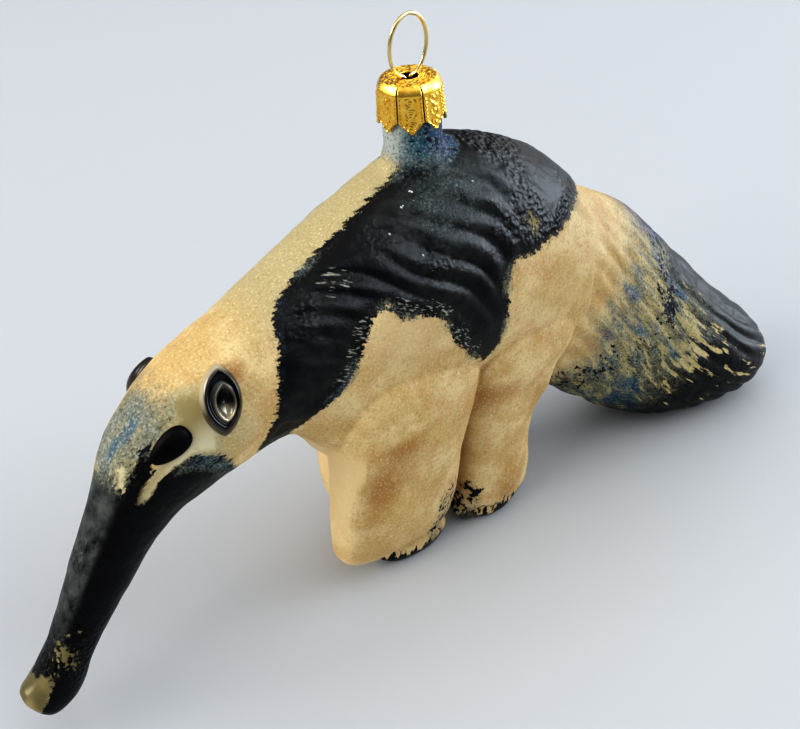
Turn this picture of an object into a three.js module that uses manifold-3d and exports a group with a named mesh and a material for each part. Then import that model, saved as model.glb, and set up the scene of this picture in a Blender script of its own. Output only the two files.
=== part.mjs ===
import * as THREE from "three";
import { mergeVertices } from "three/addons/utils/BufferGeometryUtils.js";
import Module from "manifold-3d";

// A blown glass tree ornament in the shape of a walking giant anteater, head towards -X, resting on its
// four feet and the underside of its tail. Lengths are in millimetres, up is +Z, and the seam of the
// mould lies in the plane y = 0.

const wasm = await Module();
wasm.setup();

// Space left between two neighbouring pieces.
const GAP = 0.3;

// Sections of the trunk from the tip of the snout to the end of the tail. Each row is the centre of a
// section and how far it reaches to either side, towards the back (up) and towards the belly (down).
// The higher tail rows are drawn towards -Y, because the tail swings a little to that side.
const TRUNK = [
  { x: -76.4, y: -0.6, z: 6.6, side: 3.3, up: 4.3, down: 1.9 },
  { x: -72.7, y: -1.0, z: 10.8, side: 4.2, up: 3.6, down: 4.0 },
  { x: -68.9, y: -1.0, z: 17.0, side: 3.8, up: 3.2, down: 3.9 },
  { x: -63.0, y: -0.8, z: 26.0, side: 4.7, up: 4.4, down: 5.1 },
  { x: -57.0, y: -0.4, z: 34.6, side: 5.8, up: 5.6, down: 6.7 },
  { x: -50.6, y: 0, z: 41.4, side: 8.0, up: 8.4, down: 9.8 },
  { x: -42.6, y: 0, z: 46.6, side: 9.8, up: 9.8, down: 11.8 },
  { x: -33.0, y: 0, z: 49.4, side: 10.6, up: 11.0, down: 13.2 },
  { x: -23.5, y: 0, z: 51.6, side: 12.4, up: 13.0, down: 26.0 },
  { x: -8.0, y: 0, z: 53.6, side: 15.0, up: 17.8, down: 24.0 },
  { x: 6.0, y: 0, z: 54.0, side: 16.0, up: 22.2, down: 23.5 },
  { x: 18.0, y: 0, z: 52.5, side: 16.0, up: 19.2, down: 24.0 },
  { x: 30.0, y: 0, z: 46.0, side: 14.5, up: 15.4, down: 21.5 },
  { x: 42.4, y: -0.8, z: 37.4, side: 12.5, up: 16.8, down: 20.8 },
  { x: 56.0, y: -2.5, z: 26.5, side: 13.0, up: 15.4, down: 21.0 },
  { x: 69.0, y: -5.4, z: 17.0, side: 15.2, up: 13.0, down: 19.4 },
  { x: 82.0, y: -7.8, z: 10.8, side: 14.4, up: 9.6, down: 12.0 },
  { x: 92.6, y: -8.0, z: 6.6, side: 7.0, up: 4.2, down: 5.2 },
];
const TRUNK_AROUND = 28;
const TRUNK_ALONG = 72;

// Where the trunk is parted, counted in rows of TRUNK.
const SNOUT_END = 4.4;
const HEAD_END = 6.9;
const NECK_END = 7.8;
const TORSO_END = 13.0;

// Sections of a left leg from the shoulder or hip down to the sole; fore is the reach along X, side along Y.
const FRONT_LEG = [
  { x: -8.0, y: -6.0, z: 50.0, side: 5.0, fore: 8.0 },
  { x: -8.0, y: -8.0, z: 42.0, side: 6.6, fore: 13.5 },
  { x: -8.8, y: -8.0, z: 33.0, side: 6.6, fore: 14.2 },
  { x: -9.6, y: -7.5, z: 24.0, side: 6.2, fore: 13.2 },
  { x: -9.9, y: -7.2, z: 15.0, side: 5.8, fore: 13.0 },
  { x: -10.0, y: -6.4, z: 8.0, side: 5.0, fore: 12.2 },
  { x: -10.4, y: -5.8, z: 5.4, side: 3.8, fore: 10.4 },
];
const HIND_LEG = [
  { x: 18.0, y: -6.0, z: 50.0, side: 6.0, fore: 8.0 },
  { x: 17.0, y: -8.0, z: 40.0, side: 7.2, fore: 12.0 },
  { x: 14.8, y: -7.8, z: 29.0, side: 6.2, fore: 10.0 },
  { x: 13.2, y: -7.4, z: 19.0, side: 5.6, fore: 7.6 },
  { x: 13.6, y: -7.4, z: 10.0, side: 5.4, fore: 8.0 },
  { x: 14.0, y: -7.0, z: 2.0, side: 4.6, fore: 8.4 },
];
const LEG_SQUARENESS = 2.8;
const ANKLE = 6.5;

// The claws are a low lobe under each foot; its flat underside is the sole.
const FRONT_CLAWS = { at: [-5.2, -6.0, 3.0], half: [8.2, 3.7, 3.9] };
const HIND_CLAWS = { at: [14.0, -6.6, 3.2], half: [8.4, 4.2, 4.2] };

// The animal is caught in mid-stride, so each right leg stands farther back than its left one.
const STEP_FRONT = 9.0;
const STEP_HIND = 5.0;

// Where a front leg meets the hind leg behind it, on the left and on the right.
const FLANK_LEFT = 5.0;
const FLANK_RIGHT = 12.0;

// The glass between the legs, which joins them down to just above the ground.
const WEB = [
  { x: 1.0, y: 0, z: 38.0, side: 5.4, fore: 16.5 },
  { x: 1.5, y: 0, z: 20.0, side: 5.4, fore: 16.5 },
  { x: 2.0, y: 0, z: 2.2, side: 5.2, fore: 16.0 },
];

// Ear and eye are the left-hand ones: where each sits, the way out of the skin, the way its length runs
// and half its size.
const EAR = {
  at: [-42.9, -8.2, 52.8],
  out: [-0.28, -0.76, 0.59],
  along: [2.2, 4.2, 7.3],
  half: [5.3, 3.1, 2.6],
};
const EAR_CUP = { deep: 2.1, half: [3.9, 2.0, 2.4] };
const EYE = {
  at: [-50.0, -7.0, 48.6],
  out: [-0.49, -0.75, 0.44],
  along: [4.4, -1.1, 3.0],
  half: [2.9, 2.6, 1.5],
};
const HEAD_TURN = THREE.MathUtils.degToRad(-26);
const EAR_AT = 6.0;
const EAR_FORWARD = 4.6;
const EYE_FORWARD = 3.9;
const EYE_AT = 5.1;
const EYE_CORNER = { back: 2.4, half: [2.3, 1.7, 1.2] };

// The pike is the glass neck that the ornament was blown through. Heights run along its own axis.
const PIKE_BASE = [0.4, 0, 75.0];
const PIKE_LEAN = THREE.MathUtils.degToRad(-6);
const PIKE_BORE = 3.2;
const PIKE_TOP = 11.8;

const CAP = { tip: 5.6, shoulder: 11.6, top: 12.8, sheet: 0.4, rimTop: 4.9, rimLow: 5.25, hole: 1.5 };
const PETALS = 8;
const PETAL_POINT = 1.9;
const PETAL_SLIT = 0.35;
const PETAL_TURN = THREE.MathUtils.degToRad(-131);

const WIRE_RADIUS = 0.3;
const LOOP = { high: 17.4, aside: -0.3, halfWide: 3.6, halfTall: 4.7 };
const LOOP_LEAN = THREE.MathUtils.degToRad(8);

// Smooth value between the rows of a table, where t counts rows.
function between(rows, t, key) {
  const i = Math.min(Math.floor(t), rows.length - 2);
  const s = t - i;
  const row = (k) => rows[Math.max(0, Math.min(rows.length - 1, k))][key];
  const rise0 = (row(i + 1) - row(i - 1)) / 2;
  const rise1 = (row(i + 2) - row(i)) / 2;
  const s2 = s * s;
  const s3 = s2 * s;
  const start = (2 * s3 - 3 * s2 + 1) * row(i) + (s3 - 2 * s2 + s) * rise0;
  return start + (3 * s2 - 2 * s3) * row(i + 1) + (s3 - s2) * rise1;
}

// How wide a ring is near either end of a loft, from 0 at the pole to 1.
function endRound(polar, rings) {
  const steps = Math.min(polar, 1 - polar) * rings / 2;
  return Math.sin(Math.min(1, steps) * Math.PI / 2);
}

// Place and heading of the trunk at t.
function trunkFrame(t) {
  const t0 = Math.max(0, t - 0.01);
  const t1 = Math.min(TRUNK.length - 1, t + 0.01);
  const point = (at) => new THREE.Vector3(...["x", "y", "z"].map((key) => between(TRUNK, at, key)));
  const ahead = point(t1).sub(point(t0)).normalize();
  const across = new THREE.Vector3(0, 0, 1).cross(ahead).normalize();
  const back = new THREE.Vector3().crossVectors(ahead, across);
  return { centre: point(t), ahead, across, back };
}

// The trunk, with its surface pushed out by swell. The rings of a sphere are carried along the sections.
function trunkShape(swell) {
  const shape = new THREE.SphereGeometry(1, TRUNK_AROUND, TRUNK_ALONG);
  const p = shape.attributes.position;
  for (let i = 0; i < p.count; i++) {
    const turn = Math.atan2(p.getZ(i), p.getX(i));
    const polar = Math.acos(THREE.MathUtils.clamp(p.getY(i), -1, 1)) / Math.PI;
    const t = polar * (TRUNK.length - 1);
    const { centre, across, back } = trunkFrame(t);
    const reach = between(TRUNK, t, Math.sin(turn) > 0 ? "up" : "down") + swell;
    const side = between(TRUNK, t, "side") + swell;
    const wide = endRound(polar, TRUNK_ALONG);
    centre.addScaledVector(across, wide * side * Math.cos(turn));
    centre.addScaledVector(back, wide * reach * Math.sin(turn));
    p.setXYZ(i, centre.x, centre.y, centre.z);
  }
  return solid(shape);
}

// A leg: rings between an ellipse and a rectangle, stacked down the rows, pushed out by swell.
function legShape(rows, swell = 0, rings = 18) {
  const shape = new THREE.SphereGeometry(1, 20, rings);
  const p = shape.attributes.position;
  const square = (v) => Math.sign(v) * Math.abs(v) ** (2 / LEG_SQUARENESS);
  for (let i = 0; i < p.count; i++) {
    const turn = Math.atan2(-p.getZ(i), p.getX(i));
    const polar = Math.acos(THREE.MathUtils.clamp(p.getY(i), -1, 1)) / Math.PI;
    const t = polar * (rows.length - 1);
    const wide = endRound(polar, rings);
    const x = between(rows, t, "x") + wide * (between(rows, t, "fore") + swell) * square(Math.cos(turn));
    const y = between(rows, t, "y") + wide * (between(rows, t, "side") + swell) * square(Math.sin(turn));
    p.setXYZ(i, x, y, between(rows, t, "z"));
  }
  return solid(shape);
}

function ellipsoid(half, around = 16, along = 10) {
  return new THREE.SphereGeometry(1, around, along).scale(...half);
}

// Turns a shape so that its X runs along a direction on the skin and its Z points out of it, and moves
// it there.
function seated(shape, { at, out, along }) {
  const z = new THREE.Vector3(...out).normalize();
  const x = new THREE.Vector3(...along);
  x.addScaledVector(z, -x.dot(z)).normalize();
  const y = new THREE.Vector3().crossVectors(z, x);
  const place = new THREE.Matrix4().makeBasis(x, y, z).setPosition(...at);
  return shape.applyMatrix4(place);
}

// The right-hand copy of a piece of the head, let down around the axis of the head at t and moved forward.
function turnedHead(made, t, forward) {
  const { centre, ahead } = trunkFrame(t);
  const start = centre.clone().addScaledVector(ahead, forward).negate();
  const turn = new THREE.Matrix4().makeTranslation(centre);
  turn.multiply(new THREE.Matrix4().makeRotationAxis(ahead, HEAD_TURN));
  turn.multiply(new THREE.Matrix4().makeTranslation(start));
  return mirrored(made).transform(turn.toArray());
}

// Carries a shape from the axis of the pike to its place on the back.
function onPike(shape) {
  return shape.rotateY(PIKE_LEAN).translate(...PIKE_BASE);
}

// A closed geometry as a solid that can be joined and cut.
function solid(shape) {
  const g = shape.clone();
  g.deleteAttribute("normal");
  g.deleteAttribute("uv");
  const merged = mergeVertices(g, 1e-4);
  const vertProperties = new Float32Array(merged.attributes.position.array);
  const triVerts = new Uint32Array(merged.index.array);
  return new wasm.Manifold(new wasm.Mesh({ numProp: 3, vertProperties, triVerts }));
}

// The largest closed body of a solid, without its crumbs.
function largest(made) {
  return made.decompose().reduce((a, b) => (b.volume() > a.volume() ? b : a));
}

function join(first, ...rest) {
  return rest.reduce((sum, next) => sum.add(next), first);
}

// The slice of the trunk between two places on it, half a gap short of each.
function slice(made, from, to) {
  let out = made;
  if (from !== null) {
    const { centre, ahead } = trunkFrame(from);
    out = out.trimByPlane(ahead.toArray(), ahead.dot(centre) + GAP / 2);
  }
  if (to !== null) {
    const { centre, ahead } = trunkFrame(to);
    out = out.trimByPlane(ahead.clone().negate().toArray(), -ahead.dot(centre) + GAP / 2);
  }
  return out;
}

const aboveGround = (made) => made.trimByPlane([0, 0, 1], 0);
const mirrored = (made) => made.mirror([0, 1, 0]);

// Trunk, parted into snout, head, neck, torso and tail.
const trunk = aboveGround(trunkShape(0));
const trunkAndGap = trunkShape(GAP);
const web = (swell) => legShape(WEB, swell, 8);
const snout = slice(trunk, null, SNOUT_END);
const head = slice(trunk, SNOUT_END, HEAD_END);
const neck = slice(trunk, HEAD_END, NECK_END);
const torso = join(slice(trunk, NECK_END, TORSO_END), web(0));
const tail = slice(trunk, TORSO_END, null);
const torsoAndGap = join(trunkAndGap, web(GAP));

// A leg and its foot, parted at the ankle. A right-hand one is mirrored and stands farther back.
function limb(rows, claws, right, step) {
  const one = join(legShape(rows), solid(ellipsoid(claws.half).translate(...claws.at)));
  const whole = (right ? mirrored(one) : one).translate(step, 0, 0);
  return aboveGround(whole.subtract(torsoAndGap));
}
const before = (made, x) => made.trimByPlane([-1, 0, 0], GAP / 2 - x);
const behind = (made, x) => made.trimByPlane([1, 0, 0], GAP / 2 + x);
const legOf = (made) => largest(made.trimByPlane([0, 0, 1], GAP / 2 + ANKLE));
const footOf = (made) => largest(made.trimByPlane([0, 0, -1], GAP / 2 - ANKLE));
const frontLeft = before(limb(FRONT_LEG, FRONT_CLAWS, false, 0), FLANK_LEFT);
const hindLeft = behind(limb(HIND_LEG, HIND_CLAWS, false, 0), FLANK_LEFT);
const frontRight = before(limb(FRONT_LEG, FRONT_CLAWS, true, STEP_FRONT), FLANK_RIGHT);
const hindRight = behind(limb(HIND_LEG, HIND_CLAWS, true, STEP_HIND), FLANK_RIGHT);

// An ear is a raised leaf with a hollow; an eye is a low drop with its point towards the snout.
const offSkin = (made) => largest(made.subtract(trunkAndGap));
const earPad = solid(seated(ellipsoid(EAR.half), EAR));
const earCup = solid(seated(ellipsoid(EAR_CUP.half).translate(0, 0, EAR_CUP.deep), EAR));
const ear = earPad.subtract(earCup);
const eyeBall = solid(seated(ellipsoid(EYE.half, 14, 8), EYE));
const eyeCorner = solid(seated(ellipsoid(EYE_CORNER.half, 12, 8).translate(-EYE_CORNER.back, 0, 0), EYE));
const eye = join(eyeBall, eyeCorner);

// Pike: a short tube that opens inside the cap.
const pikeProfile = [
  [PIKE_BORE, -4],
  [5.6, -4],
  [4.9, 1.0],
  [4.55, 2.4],
  [4.5, 6.0],
  [4.1, 8.0],
  [4.05, PIKE_TOP],
  [PIKE_BORE, PIKE_TOP],
  [PIKE_BORE, -4],
].map(([r, h]) => new THREE.Vector2(r, h));
const pikeTube = solid(onPike(new THREE.LatheGeometry(pikeProfile, 32).rotateX(Math.PI / 2)));
const pike = offSkin(pikeTube);

// Cap: a pressed cup of thin sheet with a hole on top, slit into petals that each end in a point.
const capProfile = [
  [CAP.hole, CAP.top],
  [CAP.hole, CAP.top - CAP.sheet],
  [CAP.rimTop - 0.9, CAP.top - CAP.sheet],
  [CAP.rimTop - CAP.sheet, CAP.shoulder],
  [CAP.rimLow - CAP.sheet, CAP.tip],
  [CAP.rimLow, CAP.tip],
  [CAP.rimTop, CAP.shoulder],
  [CAP.rimTop - 0.75, CAP.top],
  [CAP.hole, CAP.top],
].map(([r, h]) => new THREE.Vector2(r, h));
const capCup = solid(onPike(new THREE.LatheGeometry(capProfile, 48).rotateX(Math.PI / 2)));
const halfPetal = Math.PI * CAP.rimLow / PETALS;
const slit = new THREE.Shape([
  new THREE.Vector2(-halfPetal, CAP.tip - 1),
  new THREE.Vector2(halfPetal, CAP.tip - 1),
  new THREE.Vector2(halfPetal, CAP.tip),
  new THREE.Vector2(PETAL_SLIT / 2, CAP.tip + PETAL_POINT),
  new THREE.Vector2(PETAL_SLIT / 2, CAP.shoulder - 0.3),
  new THREE.Vector2(-PETAL_SLIT / 2, CAP.shoulder - 0.3),
  new THREE.Vector2(-PETAL_SLIT / 2, CAP.tip + PETAL_POINT),
  new THREE.Vector2(-halfPetal, CAP.tip),
]);
const slits = Array.from({ length: PETALS }, (_, k) => {
  const cutter = new THREE.ExtrudeGeometry(slit, { depth: 4, bevelEnabled: false });
  const turn = PETAL_TURN + ((k + 0.5) * 2 * Math.PI) / PETALS;
  cutter.translate(0, 0, 3).rotateX(Math.PI / 2).rotateZ(Math.PI / 2 + turn);
  return solid(onPike(cutter));
});
const crownCap = slits.reduce((cup, cutter) => cup.subtract(cutter), capCup);

// Wire: a leaning loop whose two ends go down through the hole and spread inside the pike.
const loopPoints = Array.from({ length: 25 }, (_, k) => {
  const turn = -Math.PI / 2 - THREE.MathUtils.lerp(0.2, 2 * Math.PI - 0.2, k / 24);
  const x = LOOP.halfWide * Math.cos(turn);
  const up = LOOP.halfTall * Math.sin(turn) + LOOP.halfTall;
  const c = Math.cos(LOOP_LEAN);
  const s = Math.sin(LOOP_LEAN);
  return new THREE.Vector3(LOOP.aside + x * c + up * s, 0, LOOP.high - LOOP.halfTall - x * s + up * c);
});
const wirePath = new THREE.CatmullRomCurve3([
  new THREE.Vector3(-2.4, 0, 6.5),
  new THREE.Vector3(-1.5, 0, 9.5),
  new THREE.Vector3(-0.6, 0, 12.0),
  ...loopPoints,
  new THREE.Vector3(0.6, 0, 12.0),
  new THREE.Vector3(1.5, 0, 9.5),
  new THREE.Vector3(2.4, 0, 6.5),
]);
const wireSection = new THREE.Shape().absarc(0, 0, WIRE_RADIUS, 0, 2 * Math.PI);
const wireRun = { steps: 64, curveSegments: 4, extrudePath: wirePath };
const wireShape = new THREE.ExtrudeGeometry(wireSection, wireRun);
const hangerWire = solid(onPike(wireShape));

const CREAM = { color: 0xd8bd8c, roughness: 0.55, metalness: 0 };
const BLACK = { color: 0x1b1b1f, roughness: 0.5, metalness: 0 };
const SILVERED = { color: 0x5a564e, roughness: 0.15, metalness: 0.6 };
const ENAMEL = { color: 0x050506, roughness: 0.08, metalness: 0 };
const GOLD = { color: 0xd9a51e, roughness: 0.3, metalness: 1 };

const group = new THREE.Group();
function node(name, made, finish) {
  const { vertProperties, triVerts } = made.getMesh();
  const g = new THREE.BufferGeometry();
  g.setAttribute("position", new THREE.BufferAttribute(new Float32Array(vertProperties), 3));
  g.setIndex(new THREE.BufferAttribute(new Uint32Array(triVerts), 1));
  const mesh = new THREE.Mesh(g, new THREE.MeshStandardMaterial(finish));
  mesh.name = name;
  group.add(mesh);
}

node("snout", largest(snout), BLACK);
node("head", largest(head), CREAM);
node("neck", largest(neck), CREAM);
node("torso", largest(torso), BLACK);
node("tail", largest(tail), BLACK);
node("front_leg_left", legOf(frontLeft), CREAM);
node("front_leg_right", legOf(frontRight), CREAM);
node("hind_leg_left", legOf(hindLeft), CREAM);
node("hind_leg_right", legOf(hindRight), CREAM);
node("front_foot_left", footOf(frontLeft), CREAM);
node("front_foot_right", footOf(frontRight), CREAM);
node("hind_foot_left", footOf(hindLeft), CREAM);
node("hind_foot_right", footOf(hindRight), CREAM);
node("ear_left", offSkin(ear), SILVERED);
node("ear_right", offSkin(turnedHead(ear, EAR_AT, EAR_FORWARD)), SILVERED);
node("eye_left", offSkin(eye), ENAMEL);
node("eye_right", offSkin(turnedHead(eye, EYE_AT, EYE_FORWARD)), ENAMEL);
node("glass_pike", pike, CREAM);
node("crown_cap", largest(crownCap), GOLD);
node("hanger_wire", largest(hangerWire), GOLD);

// The frame starts on the ground, under the middle of the whole ornament.
const box = new THREE.Box3().setFromObject(group);
const middle = box.getCenter(new THREE.Vector3());
group.children.forEach((mesh) => mesh.geometry.translate(-middle.x, -middle.y, -box.min.z));

export default group;
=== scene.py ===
# %% [markdown]
# # A blown glass anteater ornament
# This lesson dresses a small Christmas ornament: a walking giant anteater, blown from one bubble of glass in a
# mould, silvered inside, painted outside, and hung from a pressed gold cap with a wire loop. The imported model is
# the fixed frame, and every piece made here sits where that model has it. All work is in metres, because the
# frame is. The tables are in millimetres, because a maker of ornaments thinks in them.

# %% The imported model
import math
from functools import partial

import bpy
import numpy as np
from mathutils import Matrix, Vector


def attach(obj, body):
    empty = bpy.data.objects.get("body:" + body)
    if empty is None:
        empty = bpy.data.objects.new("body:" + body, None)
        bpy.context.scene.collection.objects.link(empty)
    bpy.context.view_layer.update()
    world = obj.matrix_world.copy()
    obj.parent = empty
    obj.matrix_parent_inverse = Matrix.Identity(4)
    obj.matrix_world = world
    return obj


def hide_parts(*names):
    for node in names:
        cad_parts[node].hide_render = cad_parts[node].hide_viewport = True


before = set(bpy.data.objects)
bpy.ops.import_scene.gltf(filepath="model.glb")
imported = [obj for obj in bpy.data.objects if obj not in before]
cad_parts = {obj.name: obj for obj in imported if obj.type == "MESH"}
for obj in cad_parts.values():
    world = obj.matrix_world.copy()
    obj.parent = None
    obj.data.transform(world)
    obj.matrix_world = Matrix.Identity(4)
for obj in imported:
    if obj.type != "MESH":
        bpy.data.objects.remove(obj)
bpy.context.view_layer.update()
print("packed nodes:", len(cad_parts))

MM = 0.001
MOULD_ORIGIN = np.array([7.34487, -3.08249, 0.0])  # the frame's origin in the maker's drawing, in mm


def placed(points):
    """Carries points from the maker's drawing, in mm, to the frame, in metres."""
    return (np.asarray(points, float) - MOULD_ORIGIN) * MM


# %% [markdown]
# ## Camera
# The photograph was taken from above and in front, about 34 degrees over the horizon and 41 degrees round to the
# head's side, from near enough that the snout looks large. A lens of about 50 mm on a full frame sensor gives
# that view. The camera's three axes are worked out from the two angles, as its rotation matrix wants them.

# %% Camera
CAMERA_AT = Vector(placed((-106.54, -119.55, 143.56)))
AZIMUTH, ELEVATION = math.radians(-41), math.radians(34)
forward = Vector((-math.sin(AZIMUTH) * math.cos(ELEVATION), math.cos(AZIMUTH) * math.cos(ELEVATION),
                  -math.sin(ELEVATION)))
right = forward.cross(Vector((0, 0, 1))).normalized()
up = right.cross(forward)
camera = bpy.data.objects.new("camera", bpy.data.cameras.new("camera"))
camera.data.lens = 49.5
camera.data.sensor_width = 36.0
camera.data.clip_start = 0.005
camera.matrix_world = Matrix.Translation(CAMERA_AT) @ Matrix((right, up, -forward)).transposed().to_4x4()
bpy.context.scene.collection.objects.link(camera)
bpy.context.scene.camera = camera
print("camera looks along", [round(v, 3) for v in forward])

# %% [markdown]
# ## Studio
# The ornament stands on pale cloth under soft light from above and behind, so its shadow is broad, faint, and drawn
# towards the viewer. A plain pale plane and area lights do that. The floor reaches well past the view.

# %% Helpers and floor
def linear(hex_colour):
    """An sRGB hex value as linear red, green and blue: each channel below 0.04045 is divided by 12.92, and any
    other goes through ((c + 0.055) / 1.055) to the power 2.4."""
    value = [int(hex_colour[i:i + 2], 16) / 255 for i in (1, 3, 5)]
    return tuple(v / 12.92 if v <= 0.04045 else ((v + 0.055) / 1.055) ** 2.4 for v in value)


def paint(name):
    """A new material with its shader, ready for more nodes."""
    made = bpy.data.materials.new(name)
    made.use_nodes = True
    return made, made.node_tree, made.node_tree.nodes["Principled BSDF"]


def object_from(name, points, faces, material, smooth=True):
    """A mesh object from an array of points in metres and its faces, placed by its points alone."""
    mesh = bpy.data.meshes.new(name)
    mesh.from_pydata(np.asarray(points).tolist(), [], [list(map(int, face)) for face in faces])
    mesh.validate()
    mesh.polygons.foreach_set("use_smooth", [smooth] * len(mesh.polygons))
    made = bpy.data.objects.new(name, mesh)
    made.data.materials.append(material)
    bpy.context.scene.collection.objects.link(made)
    return made


# Backdrop cloth: matt cotton, whose weave is too fine and too far off to show, so it gives one even pale tone.
cloth, _, cloth_shader = paint("pale_backdrop_cloth")
cloth_shader.inputs["Base Color"].default_value = (*linear("#c8cdd2"), 1)
cloth_shader.inputs["Roughness"].default_value = 0.9
FLOOR_HALF = 1.5
floor = object_from("floor", [(x * FLOOR_HALF, y * FLOOR_HALF, 0) for x, y in ((-1, -1), (1, -1), (1, 1), (-1, 1))],
                    [(0, 1, 2, 3)], cloth, smooth=False)
print("floor:", 2 * FLOOR_HALF, "m a side")

# %% [markdown]
# ## Light
# A glossy ornament shows its room as much as its paint. The three windows count only as reflections, as bright ones
# far off would. The near wall only lights the cloth and the paint, because the room behind the viewer is dark, and
# the black lacquer stays black there. The other lamps do both.

# %% Lights
ROOM = (  # name, place, what it looks at, side in m, power in W, colour, if it lights paint, if gloss shows it
    ("ceiling", (-0.02, 0.04, 0.9), (-0.02, 0.04, 0), 1.5, 5.5, "#ffffff", True, True),
    ("window", (2.3, -0.85, 0.85), (0, 0, 0.04), 1.5, 90, "#e8f4ff", False, True),
    ("back_window", (-2.1, 1.45, 1.6), (0, 0, 0.06), 1.3, 60, "#ffffff", False, True),
    ("front_window", (0.6, -1.2, 1.6), (0, 0, 0.06), 1.1, 34, "#e8f4ff", False, True),
    ("side_wall", (2.3, -0.85, 0.85), (0, 0, 0.04), 1.5, 29, "#ffffff", True, True),
    ("bright_wall", (2.6, 0.9, 0.8), (0, 0, 0.04), 1.6, 8, "#ffffff", True, True),
    ("near_wall", (-2.4, 0.35, 0.9), (0, 0, 0.04), 2.0, 40, "#fff8ee", True, False))
ROOM_GLOW = 0.2
for name, at, towards, size, power, tone, lights_paint, in_gloss in ROOM:
    lamp = bpy.data.lights.new(name, "AREA")
    lamp.shape, lamp.size, lamp.energy, lamp.color = "SQUARE", size, power, linear(tone)
    softbox = bpy.data.objects.new(name, lamp)
    softbox.location = at
    softbox.rotation_euler = (Vector(towards) - Vector(at)).to_track_quat("-Z", "Y").to_euler()
    softbox.visible_diffuse, softbox.visible_glossy = lights_paint, in_gloss
    bpy.context.scene.collection.objects.link(softbox)
world = bpy.data.worlds.new("room")
world.use_nodes = True
world.node_tree.nodes["Background"].inputs["Color"].default_value = (*linear("#f4f6ff"), 1)
world.node_tree.nodes["Background"].inputs["Strength"].default_value = ROOM_GLOW
bpy.context.scene.world = world
bpy.context.scene.view_settings.view_transform = "Standard"
bpy.context.scene.view_settings.look = "High Contrast"
print("lamps:", len(ROOM))

# %% [markdown]
# ## The blown body
# On the real ornament everything but the cap and wire is one bubble of glass. The body is drawn here as a stack of
# sections, from the snout to the end of the tail, and the legs as stacks of their own. Each table row is one
# section, and a smooth curve runs between the rows. All are joined afterwards into one skin.

# %% Sections of the trunk
TRUNK = np.array([  # centre x, y, z, reach to either side, towards the back, towards the belly
    (-76.4, -0.6, 6.6, 3.3, 4.3, 1.9), (-72.7, -1.0, 10.8, 4.2, 3.6, 4.0), (-68.9, -1.0, 17.0, 3.8, 3.2, 3.9),
    (-63.0, -0.8, 26.0, 4.7, 4.4, 5.1), (-57.0, -0.4, 34.6, 5.8, 5.6, 6.7), (-50.6, 0.0, 41.4, 8.0, 8.4, 9.8),
    (-42.6, 0.0, 46.6, 9.8, 9.8, 11.8), (-33.0, 0.0, 49.4, 10.6, 11.0, 13.2), (-23.5, 0.0, 51.6, 12.4, 13.0, 26.0),
    (-8.0, 0.0, 53.6, 15.0, 17.8, 24.0), (6.0, 0.0, 54.0, 16.0, 22.2, 23.5), (18.0, 0.0, 52.5, 16.0, 19.2, 24.0),
    (30.0, 0.0, 46.0, 14.5, 15.4, 21.5), (42.4, -0.8, 37.4, 12.5, 16.8, 20.8), (56.0, -2.5, 26.5, 13.0, 15.4, 21.0),
    (69.0, -5.4, 17.0, 15.2, 13.0, 19.4), (82.0, -7.8, 10.8, 14.4, 9.6, 12.0), (92.6, -8.0, 6.6, 7.0, 4.2, 5.2)])
TRUNK_END_PARTS = 36  # each end is rounded off over one part in 36 of the trunk's length
print("sections:", len(TRUNK))


# %% A smooth curve through the rows
def between(rows, t):
    """Smooth values between table rows, with t counted in rows: a cubic through both neighbours whose slope at a row
    is half the difference of the rows on either side of it."""
    t = np.asarray(t, float)
    i = np.minimum(t.astype(int), len(rows) - 2)
    s = (t - i)[..., None]
    last = len(rows) - 1
    a, b = rows[i], rows[i + 1]
    rise_a = (b - rows[np.maximum(i - 1, 0)]) / 2
    rise_b = (rows[np.minimum(i + 2, last)] - a) / 2
    return ((2 * s**3 - 3 * s**2 + 1) * a + (s**3 - 2 * s**2 + s) * rise_a
            + (3 * s**2 - 2 * s**3) * b + (s**3 - s**2) * rise_b)


print("between the first two sections:", between(TRUNK, 0.5).round(1).tolist())


# %% The trunk's surface
def unit(vectors):
    """Each vector divided by its own length."""
    return vectors / np.linalg.norm(vectors, axis=-1, keepdims=True)


def trunk_frame(t):
    """Where the trunk's axis is at t, and three unit directions there: ahead along it, across to the right flank,
    and out of the back. Across is level, and the back is square to both."""
    last = len(TRUNK) - 1
    ahead = unit(between(TRUNK, np.minimum(last, t + 0.01))[..., :3] - between(TRUNK, np.maximum(0, t - 0.01))[..., :3])
    across = unit(np.cross([0, 0, 1], ahead))
    return between(TRUNK, t)[..., :3], ahead, across, np.cross(ahead, across)


def end_round(polar, parts):
    """From 0 at either end of a stack to 1: a quarter sine over one of so many parts of its length."""
    return np.sin(np.minimum(1, np.minimum(polar, 1 - polar) * parts) * np.pi / 2)


def trunk_surface(polar, turn):
    """Points of the trunk: polar runs 0 to 1 from snout to tail, turn is the angle from the right flank over the
    back. The point is the axis plus side * cos(turn) across plus up or down * sin(turn) along the back."""
    t = polar * (len(TRUNK) - 1)
    row = between(TRUNK, t)
    centre, _, across, back = trunk_frame(t)
    wide = end_round(polar, TRUNK_END_PARTS)
    reach = np.where(np.sin(turn) > 0, row[..., 4], row[..., 5])
    return (centre + (wide * row[..., 3] * np.cos(turn))[..., None] * across
            + (wide * reach * np.sin(turn))[..., None] * back)


print("the shoulder at the crest:", trunk_surface(np.array([0.6]), np.array([np.pi / 2])).round(1).tolist())


# %% Closed forms
def grid(rows, turns):
    """The two parameters of a surface: the given row values, and equal turns once round."""
    return np.meshgrid(rows, np.linspace(0, 2 * np.pi, turns, endpoint=False), indexing="ij")


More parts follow.
